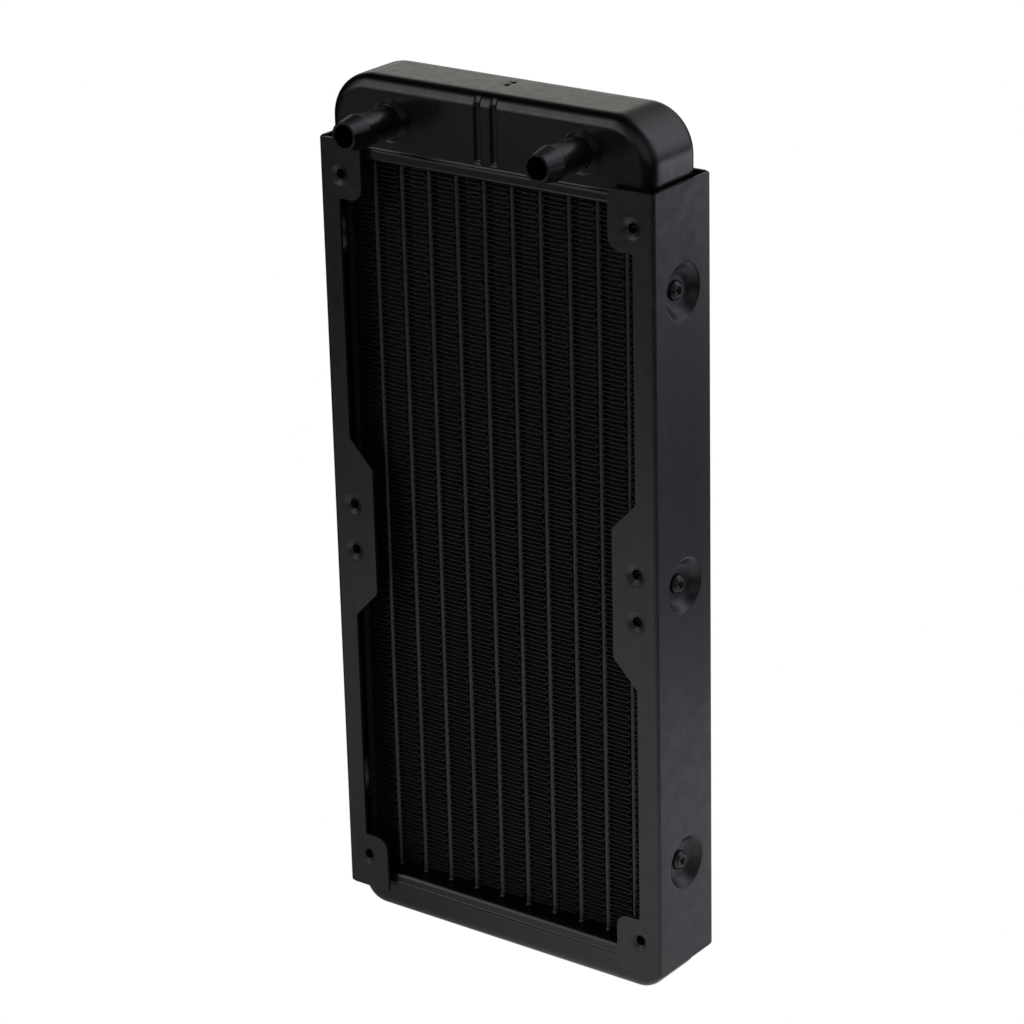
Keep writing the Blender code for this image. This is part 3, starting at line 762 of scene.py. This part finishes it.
def tank(name, node, cup, seam, up, material, marks=(), holes=()):
    """A deep-drawn tank with its skirt. up is -1 for a tank that hangs below its seam."""
    skin = Skin()
    cup.ends(skin)
    cup.top(skin, marks)
    cup.faces(skin, holes)
    skin.weld()
    if cup.grooves:
        cup.press_grooves(skin.bm)
    add_skirt(skin.bm)
    for vert in skin.bm.verts:
        vert.co.z = seam + up * vert.co.z
    obj = skin.finish(name, (0, 0, up), TANK_WALL)
    round_edges(obj, TANK_EDGE_ROUNDING)
    return dress(obj, material, "tank_paint", node)


def add_skirt(bm):
    """Flare the foot into a small bead, step it inwards and take it down between the header's lips."""
    foot = []
    for edge in bm.edges:
        if edge.is_boundary and all(abs(vert.co.z - FOOT_BEAD) < WELD for vert in edge.verts):
            foot.append(tuple(edge.verts))
    last_outward = 0.0
    for outward, z in FOOT_SECTION:
        wider = (TANK_HALF_WIDTH + outward) / (TANK_HALF_WIDTH + last_outward)
        deeper = (TANK_HALF_DEPTH + outward) / (TANK_HALF_DEPTH + last_outward)
        below = {}
        for vert in [vert for pair in foot for vert in pair]:
            if vert not in below:
                below[vert] = bm.verts.new((vert.co.x * wider, vert.co.y * deeper, z))
        for first, second in foot:
            bm.faces.new((first, second, below[second], below[first]))
        foot = [(below[first], below[second]) for first, second in foot]
        last_outward = outward


def tanks(material):
    """The top tank, with grooves that crimp its divider, barb holes and marks, and the bottom tank."""
    mark = circle(MARK_RADIUS, steps=24)
    marks = [(mark, MARK_SECTION, MARK_X, y) for y in MARK_Y]
    hole = circle(BARB_HOLE, steps=32)
    holes = []
    for side, label in ((-1, "left"), (1, "right")):
        shift = BARB_SET[label][0]
        holes.append((hole, side * BARB_X + shift[0], BARB_Z + shift[1] - TANK_SEAM))
    cup = Cup(TANK_TOP - TANK_SEAM, TOP_SHOULDER, [GROOVE_X, -GROOVE_X])
    tank("drawn_tank_top", "top_tank", cup, TANK_SEAM, 1, material, marks, holes)
    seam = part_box("bottom_header")[0].z - TIGHT_SEAM_GAP
    cup = Cup(seam, BOTTOM_SHOULDER, [])
    tank("drawn_tank_bottom", "bottom_tank", cup, seam, -1, material)


# ---- hose barbs ----


def hose_barb(x, rise, lean, name, node, material):
    """A turned barb: thin tip, cone, short land, neck, and stepped rings at the tank.

    Like a hand-soldered one it sits a little off its mark and leans by (x, z) at its tip.
    """
    cone_end = BARB_TIP - BARB_CONE_LENGTH
    land_end = cone_end - BARB_LAND_LENGTH
    section = [
        (BARB_BORE, BARB_TIP, 0.12 * MM),
        (BARB_NOSE, BARB_TIP, 0.15 * MM),
        (BARB_CREST, cone_end, 0.5 * MM),
        (BARB_LAND, land_end, 0.12 * MM),
        (BARB_NECK, land_end - 0.3 * MM, 0.15 * MM),
        (BARB_NECK_ROOT, BARB_RING_START, 0.1 * MM),
    ]
    for crest_radius, crest, foot_radius, foot, foot_round in BARB_RINGS:
        section.append((crest_radius, crest, BARB_RING_ROUND))
        section.append((foot_radius, foot, foot_round))
    section += [
        (BARB_SPIGOT, foot, 0.0),
        (BARB_SPIGOT, -BARB_SPIGOT_LENGTH, 0.2 * MM),
        (BARB_BORE, -BARB_SPIGOT_LENGTH, 0.2 * MM),
    ]

    def place(u, v, height):
        share = height / BARB_TIP
        return Vector((x + u + lean[0] * share, -TANK_HALF_DEPTH - height, rise + v + lean[1] * share))

    obj = loop_solid(name, circle(0.0, steps=72), rounded(section), place)
    return dress(obj, material, "tank_paint", node)


# ---- headers ----


def header(up, name, node, material):
    """A slotted plate whose long edges fold up into lips that hold the tank's skirt."""
    skin = Skin()
    plate_z = CORE_Z + up * HEADER_HALF
    bend_y = TANK_HALF_DEPTH + LIP_LEAN - LIP_BEND

    def plate(u, v, depth):
        return Vector((u, v, plate_z + up * depth))

    half = [(HEADER_HALF_WIDTH, -bend_y), (HEADER_HALF_WIDTH, bend_y), (LIP_HALF_LENGTH, bend_y),
            (-LIP_HALF_LENGTH, bend_y)]
    outline = half + [(-x, -y) for x, y in half]
    slot = stadium(TUBE_THICKNESS / 2 + SLOT_CLEARANCE, TUBE_DEPTH / 2 + SLOT_CLEARANCE)
    skin.patch(outline, [moved(slot(), x, 0) for x in TUBE_X], plate)
    for face in (-1, 1):
        rows = []
        for y, depth in arc(bend_y, LIP_BEND, LIP_BEND, -90, 0, 5):
            rows.append([plate(x, face * y, depth) for x in (-LIP_HALF_LENGTH, LIP_HALF_LENGTH)])
        skin.grid(rows)

        rows = []
        for rise, outward in LIP_ROLL:
            y = face * (TANK_HALF_DEPTH + outward)
            top_third = max(0.0, rise / HEADER_HEIGHT * 3 - 2)
            end = LIP_HALF_LENGTH - LIP_CORNER * top_third ** 2
            rows.append([Vector((x, y, plate_z + up * rise)) for x in (-end, end)])
        skin.grid(rows)
    obj = skin.finish(name, (0, 0, -up), SHEET)
    round_edges(obj, LIP_EDGE_ROUNDING, segments=3)
    return dress(obj, material, "tank_paint", node)


def solder_fillets(up, name, material):
    """The concave bead of solder where each tube enters a header."""
    plate_z = CORE_Z + up * HEADER_HALF
    skin = Skin()
    loop = stadium(TUBE_THICKNESS / 2, TUBE_DEPTH / 2)
    for tube_x in TUBE_X:
        rows = []
        for offset, height in SOLDER_SECTION:
            z = plate_z - up * (height + SOLDER_GAP)
            rows.append([Vector((tube_x + x, y, z)) for x, y in loop(-offset)])
        skin.grid(rows, closed=True, looped=True)
    obj = skin.finish(name, (0, 0, -up))
    return dress(obj, material, "tank_paint")


# ---- core ----


def water_tube(number, material):
    """A flat tube with round noses, open at both ends."""
    name = f"water_tube_{number:02d}"
    low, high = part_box(name)
    section = [(0.0, low.z), (0.0, high.z), (-TUBE_WALL, high.z), (-TUBE_WALL, low.z)]
    centre = TUBE_X[number - 1]

    def place(u, v, height):
        return Vector((centre + u, v, height))

    loop = stadium(TUBE_THICKNESS / 2, TUBE_DEPTH / 2, steps=12)
    obj = loop_solid(f"flat_tube_{number:02d}", loop, section, place)
    return dress(obj, material, "core_paint", name)


def louvre_lines():
    """Cut lines of a fin leg's two banks of louvres, with plain strips in front, between and behind."""
    half = TUBE_DEPTH / 2
    bank = (TUBE_DEPTH - 3 * LOUVRE_MARGIN) / 2
    per_bank = LOUVRES // 2
    front = [-half + LOUVRE_MARGIN + bank * i / per_bank for i in range(per_bank + 1)]
    return front, [-y for y in reversed(front)]


def fin_leg(skin, ends, heights, banks):
    """One leg between two crests: plain edges, and louvres that are cut and twisted open."""
    (left, right), (z_left, z_right) = ends, heights
    half = TUBE_DEPTH / 2

    def at(x, y, lift=0.0):
        share = (x - left) / (right - left)
        return Vector((x, y, z_left + (z_right - z_left) * share + lift))

    span = LOUVRE_HALF_SPAN
    inner = span - LOUVRE_TWIST_RUN
    front, back = banks
    skin.grid([[at(-span, front[-1]), at(span, front[-1])], [at(-span, back[0]), at(span, back[0])]])
    stations = [-half] + front + back + [half]
    left_edge = [at(left, half), at(left, -half)] + [at(-span, y) for y in stations]
    right_edge = [at(right, -half), at(right, half)] + [at(span, y) for y in reversed(stations)]
    for edge in (left_edge, right_edge):
        skin.bm.faces.new([skin.bm.verts.new(p) for p in edge])
    slats = [(-half, front[0], -NOSE_LIFT / 2, NOSE_LIFT), (back[-1], half, NOSE_LIFT, -NOSE_LIFT / 2)]
    for bank, tilt in ((front, 1), (back, -1)):
        for y0, y1 in zip(bank, bank[1:]):
            lift = tilt * (y1 - y0) / 2 * math.tan(LOUVRE_ANGLE)
            slats.append((y0, y1, lift, -lift))
    for y0, y1, lift0, lift1 in slats:
        rows = []
        for y, lift in ((y0, lift0), (y1, lift1)):
            rows.append([at(-span, y), at(-inner, y, lift), at(inner, y, lift), at(span, y)])
        skin.grid(rows)


def fin_strip(number, material):
    """A strip of folded foil: louvred legs joined by round crests, a little uneven as real fins are."""
    rng = random.Random(40 + number)
    skin = Skin()
    banks = louvre_lines()
    legs = int(2 * FIN_HALF_HEIGHT / FIN_PITCH)
    spacing = 2 * FIN_HALF_HEIGHT / legs
    half = TUBE_DEPTH / 2
    centre = FIN_X[number - 1]
    base = -FIN_HALF_HEIGHT
    crest_sides = [1 if (i + number) % 2 else -1 for i in range(legs)]
    ends_z = []
    for i in range(legs + 1):
        middle = base + spacing * i + rng.gauss(0, CREST_SCATTER)
        slant = rng.gauss(0, CREST_SLANT)
        ends_z.append({-1: middle - slant, 1: middle + slant})
    radii = []
    for i, side in enumerate(crest_sides):
        radii.append((ends_z[i + 1][side] - ends_z[i][side]) / 2)
    for i in range(legs + 1):
        reach = dict.fromkeys((-1, 1), FIN_REACH - FIN_PITCH / 2)
        if i < legs:
            reach[crest_sides[i]] = FIN_REACH - radii[i]
        if i > 0:
            reach[crest_sides[i - 1]] = FIN_REACH - radii[i - 1]
        fin_leg(skin, (-reach[-1], reach[1]), (ends_z[i][-1], ends_z[i][1]), banks)
        if i < legs:
            side, radius = crest_sides[i], radii[i]
            middle = (ends_z[i][side] + ends_z[i + 1][side]) / 2
            rows = []
            for x, z in arc(FIN_REACH - radius, middle, radius, -90, 90, 6):
                rows.append([Vector((side * x, y, z)) for y in (-half, half)])
            skin.grid(rows)
    skin.weld()
    for vert in skin.bm.verts:
        vert.co += Vector((centre, 0, CORE_Z))
    obj = skin.finish(f"fin_foil_{number:02d}", (0, 0, 1), FOIL)
    obj.modifiers["wall"].offset = 0
    obj.modifiers["wall"].use_even_offset = False
    return dress(obj, material, "core_paint", f"fin_strip_{number:02d}")


# ---- materials ----


class Graph:
    """Short forms for building a node material."""

    def __init__(self, name):
        self.material = bpy.data.materials.new(name)
        self.material.use_nodes = True
        self.tree = self.material.node_tree
        self.shader = self.tree.nodes["Principled BSDF"]
        coordinates = self.tree.nodes.new("ShaderNodeTexCoord")
        self.place = coordinates.outputs["Object"]

    def link(self, source, target):
        """Connect an output, or set a plain value."""
        if isinstance(source, bpy.types.NodeSocket):
            self.tree.links.new(source, target)
        else:
            target.default_value = source

    def noise(self, scale, detail=2.0, stretch=(1, 1, 1), seed=0.0):
        """Noise with its scale in cycles a metre, squeezed or stretched along the axes."""
        mapping = self.tree.nodes.new("ShaderNodeMapping")
        mapping.inputs["Scale"].default_value = stretch
        mapping.inputs["Location"].default_value = (seed, seed, seed)
        self.link(self.place, mapping.inputs["Vector"])
        texture = self.tree.nodes.new("ShaderNodeTexNoise")
        texture.inputs["Scale"].default_value = scale
        texture.inputs["Detail"].default_value = detail
        self.link(mapping.outputs["Vector"], texture.inputs["Vector"])
        return texture.outputs["Fac"]

    def specks(self, scale, size):
        """Sparse round specks, 1 inside a speck and 0 outside."""
        texture = self.tree.nodes.new("ShaderNodeTexVoronoi")
        texture.inputs["Scale"].default_value = scale
        self.link(self.place, texture.inputs["Vector"])
        return self.span(texture.outputs["Distance"], size, size * 0.5, 0.0, 1.0)

    def span(self, value, low, high, to_low, to_high):
        """Map a value's range onto another, clamped."""
        node = self.tree.nodes.new("ShaderNodeMapRange")
        self.link(value, node.inputs["Value"])
        for socket, number in zip(node.inputs[1:], (low, high, to_low, to_high)):
            self.link(number, socket)
        return node.outputs["Result"]

    def math(self, operation, first, second):
        """A math node."""
        node = self.tree.nodes.new("ShaderNodeMath")
        node.operation = operation
        self.link(first, node.inputs[0])
        self.link(second, node.inputs[1])
        return node.outputs["Value"]

    def mix(self, factor, first, second):
        """Blend two colours."""
        node = self.tree.nodes.new("ShaderNodeMix")
        node.data_type = "RGBA"
        self.link(factor, node.inputs["Factor"])
        self.link(first, node.inputs[MIX_FIRST])
        self.link(second, node.inputs[MIX_SECOND])
        return node.outputs[MIX_RESULT]

    def edges(self, low, high):
        """1 on the outer edges of the mesh, 0 on its flats."""
        geometry = self.tree.nodes.new("ShaderNodeNewGeometry")
        return self.span(geometry.outputs["Pointiness"], low, high, 0.0, 1.0)

    def height(self, value, distance, below=None):
        """A bump of the given depth, on top of another bump if there is one."""
        node = self.tree.nodes.new("ShaderNodeBump")
        node.inputs["Distance"].default_value = distance
        self.link(value, node.inputs["Height"])
        if below is not None:
            self.link(below, node.inputs["Normal"])
        return node.outputs["Normal"]


def grey(level, tint=0.0):
    """A grey, a little bluer for a positive tint."""
    return (level * (1 - tint), level * (1 - tint), level * (1 + tint), 1.0)


def satin_paint(name, level, roughness, peel, streaks=0.0):
    """Sprayed black paint: mottled tone, orange peel, dust specks and edges where it has thinned.

    level is the paint's grey, peel the depth of its orange peel, and streaks is how much the
    upright marks of deep drawing show through it.
    """
    graph = Graph(name)
    mottle = graph.span(graph.noise(70, detail=4), 0.35, 0.65, 0.0, 1.0)
    tone = graph.mix(mottle, grey(level * 0.82, 0.02), grey(level * 1.2, 0.03))
    dusty = graph.span(graph.noise(160, detail=1, seed=4), 0.5, 0.62, 0.0, 0.5)
    dust = graph.math("MULTIPLY", graph.specks(420, size=0.12), dusty)
    tone = graph.mix(dust, tone, grey(level * 3.0, 0.0))
    rubbed = graph.span(graph.noise(900, detail=3, seed=7), 0.35, 0.6, 0.25, 1.0)
    worn = graph.math("MULTIPLY", graph.edges(0.53, 0.62), rubbed)
    tone = graph.mix(worn, tone, grey(level * 2.2))
    graph.link(tone, graph.shader.inputs["Base Color"])

    sheen = graph.noise(260, detail=5, seed=2)
    if streaks:
        drawn = graph.noise(500, detail=3, stretch=DRAWN_STRETCH, seed=5)
        plain_part = graph.math("MULTIPLY", sheen, 1 - streaks)
        drawn_part = graph.math("MULTIPLY", drawn, streaks)
        sheen = graph.math("ADD", plain_part, drawn_part)
    rough = graph.span(sheen, 0.3, 0.7, roughness - 0.06, roughness + 0.07)
    graph.link(rough, graph.shader.inputs["Roughness"])

    relief = graph.height(graph.noise(2600, detail=2, seed=1), peel)
    relief = graph.height(graph.noise(420, detail=2, seed=3), peel * 3.0, relief)
    if streaks:
        drawn = graph.noise(620, detail=2, stretch=DRAWN_RIPPLE_STRETCH, seed=8)
        relief = graph.height(drawn, streaks * DRAWN_RIPPLE_DEPTH, relief)
    graph.link(relief, graph.shader.inputs["Normal"])
    return graph.material


def core_paint(name, level, painted_nose_light_level):
    """Thin dull black on fins and tubes, greyer on the forward edges as painted light, darker behind
    them as painted shade.
    """
    graph = Graph(name)
    separate = graph.tree.nodes.new("ShaderNodeSeparateXYZ")
    graph.link(graph.place, separate.inputs["Vector"])
    nose = TUBE_DEPTH / 2
    depth = graph.math("ABSOLUTE", separate.outputs["Y"], 0.0)
    # Painted light: the forward edges of fins and tubes are made greyer for the light they catch, and
    # everything behind them stays darker as painted shade.
    painted_nose_light = graph.span(depth, nose - PAINTED_NOSE_LIGHT_WIDTH, nose, 0.0, 1.0)
    patchy = graph.span(graph.noise(700, detail=3), 0.3, 0.7, 0.35, 1.0)
    cloud = graph.noise(120, detail=3, seed=6)
    base = graph.mix(cloud, grey(level * 0.7), grey(level * 1.3))
    tone = graph.mix(graph.math("MULTIPLY", painted_nose_light, patchy), base, grey(painted_nose_light_level))
    graph.link(tone, graph.shader.inputs["Base Color"])
    rough = graph.span(graph.noise(900, detail=3, seed=2), 0.3, 0.7, 0.4, 0.62)
    graph.link(rough, graph.shader.inputs["Roughness"])
    relief = graph.height(graph.noise(3000, detail=2, seed=1), CORE_GRAIN_DEPTH)
    graph.link(relief, graph.shader.inputs["Normal"])
    graph.shader.inputs["Specular Tint"].default_value = CORE_SPECULAR_TINT
    return graph.material


# ---- studio ----


def bearing(azimuth, elevation):
    """The direction of an azimuth, counted from +X towards +Y, and an elevation, in degrees."""
    azimuth, elevation = math.radians(azimuth), math.radians(elevation)
    flat = math.cos(elevation)
    return Vector((flat * math.cos(azimuth), flat * math.sin(azimuth), math.sin(elevation)))


def glow_nodes(tree, place, centre, sharpness, strength):
    """A soft glow round a centre: strength * exp(-sharpness * distance squared)."""
    offset = tree.nodes.new("ShaderNodeVectorMath")
    offset.operation = "DISTANCE"
    tree.links.new(place, offset.inputs[0])
    offset.inputs[1].default_value = centre
    value = offset.outputs["Value"]
    steps = [("MULTIPLY", value), ("MULTIPLY", -sharpness), ("EXPONENT", None), ("MULTIPLY", strength)]
    for operation, other in steps:
        node = tree.nodes.new("ShaderNodeMath")
        node.operation = operation
        tree.links.new(value, node.inputs[0])
        if isinstance(other, bpy.types.NodeSocket):
            tree.links.new(other, node.inputs[1])
        elif other is not None:
            node.inputs[1].default_value = other
        value = node.outputs["Value"]
    return value


def combined(tree, kind, sockets):
    """The sum of numbers or vectors, by a chain of additions."""
    total = sockets[0]
    for socket in sockets[1:]:
        node = tree.nodes.new(kind)
        tree.links.new(total, node.inputs[0])
        tree.links.new(socket, node.inputs[1])
        total = node.outputs[0]
    return total


def tinted_glows(tree, place, glows):
    """The light of all the glows, each (azimuth, centre, sharpness, strength), tinted by azimuth."""
    parts = []
    start = -1
    for end, tint in TINTS:
        levels = [glow_nodes(tree, place, *shape) for azimuth, *shape in glows if start < azimuth <= end]
        start = end
        if levels:
            scale = tree.nodes.new("ShaderNodeVectorMath")
            scale.operation = "SCALE"
            scale.inputs[0].default_value = tint
            tree.links.new(combined(tree, "ShaderNodeMath", levels), scale.inputs["Scale"])
            parts.append(scale.outputs["Vector"])
    return combined(tree, "ShaderNodeVectorMath", parts)


def white_to_camera(tree, light):
    """The light for every ray but the camera's, which sees plain white."""
    path = tree.nodes.new("ShaderNodeLightPath")
    node = tree.nodes.new("ShaderNodeMix")
    node.data_type = "RGBA"
    tree.links.new(path.outputs["Is Camera Ray"], node.inputs["Factor"])
    tree.links.new(light, node.inputs[MIX_FIRST])
    node.inputs[MIX_SECOND].default_value = (1, 1, 1, 1)
    return node.outputs[MIX_RESULT]


def room():
    """The soft light all round, as a background that glows in a few directions."""
    world = bpy.data.worlds.new("studio")
    bpy.context.scene.world = world
    world.use_nodes = True
    tree = world.node_tree
    coordinates = tree.nodes.new("ShaderNodeTexCoord")
    glows = []
    for azimuth, elevation, sharpness, strength in ROOM_GLOWS:
        glows.append((azimuth, bearing(azimuth, elevation), sharpness / 2, strength))
    light = white_to_camera(tree, tinted_glows(tree, coordinates.outputs["Generated"], glows))
    tree.links.new(light, tree.nodes["Background"].inputs["Color"])


def pale_floor():
    """A plain white floor whose light falls off away from the lamps."""
    bpy.ops.mesh.primitive_plane_add(size=FLOOR_SIZE)
    floor = bpy.context.object
    floor.name = "floor"
    material = bpy.data.materials.new("pale_floor")
    material.use_nodes = True
    tree = material.node_tree
    tree.nodes.clear()
    geometry = tree.nodes.new("ShaderNodeNewGeometry")
    glows = []
    for azimuth, distance, radius, strength in FLOOR_GLOWS:
        glows.append((azimuth, bearing(azimuth, 0) * distance, 0.5 / radius ** 2, strength))
    light = white_to_camera(tree, tinted_glows(tree, geometry.outputs["Position"], glows))
    emission = tree.nodes.new("ShaderNodeEmission")
    tree.links.new(light, emission.inputs["Color"])
    output = tree.nodes.new("ShaderNodeOutputMaterial")
    tree.links.new(emission.outputs["Emission"], output.inputs["Surface"])
    material.cycles.emission_sampling = "NONE"
    floor.data.materials.append(material)


def camera_pose():
    """Where the camera stands and how it is turned, from its angles, its distance and its aim."""
    flat = math.cos(CAMERA_ELEVATION)
    back = Vector((math.sin(CAMERA_AZIMUTH) * flat, -math.cos(CAMERA_AZIMUTH) * flat,
                   math.sin(CAMERA_ELEVATION)))
    right = Vector((0, 0, 1)).cross(back).normalized()
    up = back.cross(right)
    turned_right = right * math.cos(CAMERA_ROLL) + up * math.sin(CAMERA_ROLL)
    turned_up = up * math.cos(CAMERA_ROLL) - right * math.sin(CAMERA_ROLL)
    aim = Vector((0, -HALF_DEPTH, CORE_Z - AIM_DROP))
    aim = aim + turned_right * AIM_RIGHT + turned_up * AIM_UP
    axes = Matrix((turned_right, turned_up, back)).transposed().to_4x4()
    return Matrix.Translation(aim + back * CAMERA_DISTANCE) @ axes


def studio():
    """A plain pale floor, soft light all round, and a camera at the reference viewing angle."""
    room()
    pale_floor()
    camera = bpy.data.cameras.new("camera")
    camera.sensor_width = 36.0
    camera.lens = CAMERA_LENS
    camera.clip_start = 0.01
    camera.clip_end = 50
    obj = bpy.data.objects.new("camera", camera)
    bpy.context.scene.collection.objects.link(obj)
    obj.matrix_world = camera_pose()
    bpy.context.scene.camera = obj
    bpy.context.scene.view_settings.view_transform = "Standard"


# ---- assembly ----


def build_radiator():
    """Every visible piece of the radiator, with its finish."""
    panel_paint = satin_paint("panel_paint", level=0.0055, roughness=0.36, peel=0.004 * MM)
    tank_paint = satin_paint("tank_paint", level=0.0050, roughness=0.23, peel=0.003 * MM, streaks=0.5)
    rivet_paint = satin_paint("rivet_paint", level=0.007, roughness=0.32, peel=0.004 * MM)
    # The core's forward edges get a lighter grey as painted light.
    core = core_paint("core_paint", level=0.006, painted_nose_light_level=0.012)

    for side, label in ((-1, "left"), (1, "right")):
        side_panel(side, f"folded_panel_{label}", f"side_panel_{label}", panel_paint)
        for i, z in enumerate(RIVET_Z, start=1):
            rivet(side, z, f"blind_rivet_{label}_{i}", f"rivet_{label}_{i}", rivet_paint)
        shift, lean = BARB_SET[label]
        barb_x = side * BARB_X + shift[0]
        barb_z = BARB_Z + shift[1]
        hose_barb(barb_x, barb_z, lean, f"barb_{label}", f"hose_barb_{label}", tank_paint)
    tanks(tank_paint)
    for up, label in ((1, "top"), (-1, "bottom")):
        header(up, f"folded_header_{label}", f"{label}_header", tank_paint)
        solder_fillets(up, f"solder_{label}", tank_paint)
    for number in range(1, len(TUBE_X) + 1):
        water_tube(number, core)
    for number in range(1, len(FIN_X) + 1):
        fin_strip(number, core)
    for node in ("core_side_plate_left", "core_side_plate_right", "tank_divider"):
        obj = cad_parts[node]
        obj.data.materials.clear()
        obj.data.materials.append(core)


build_radiator()
studio()
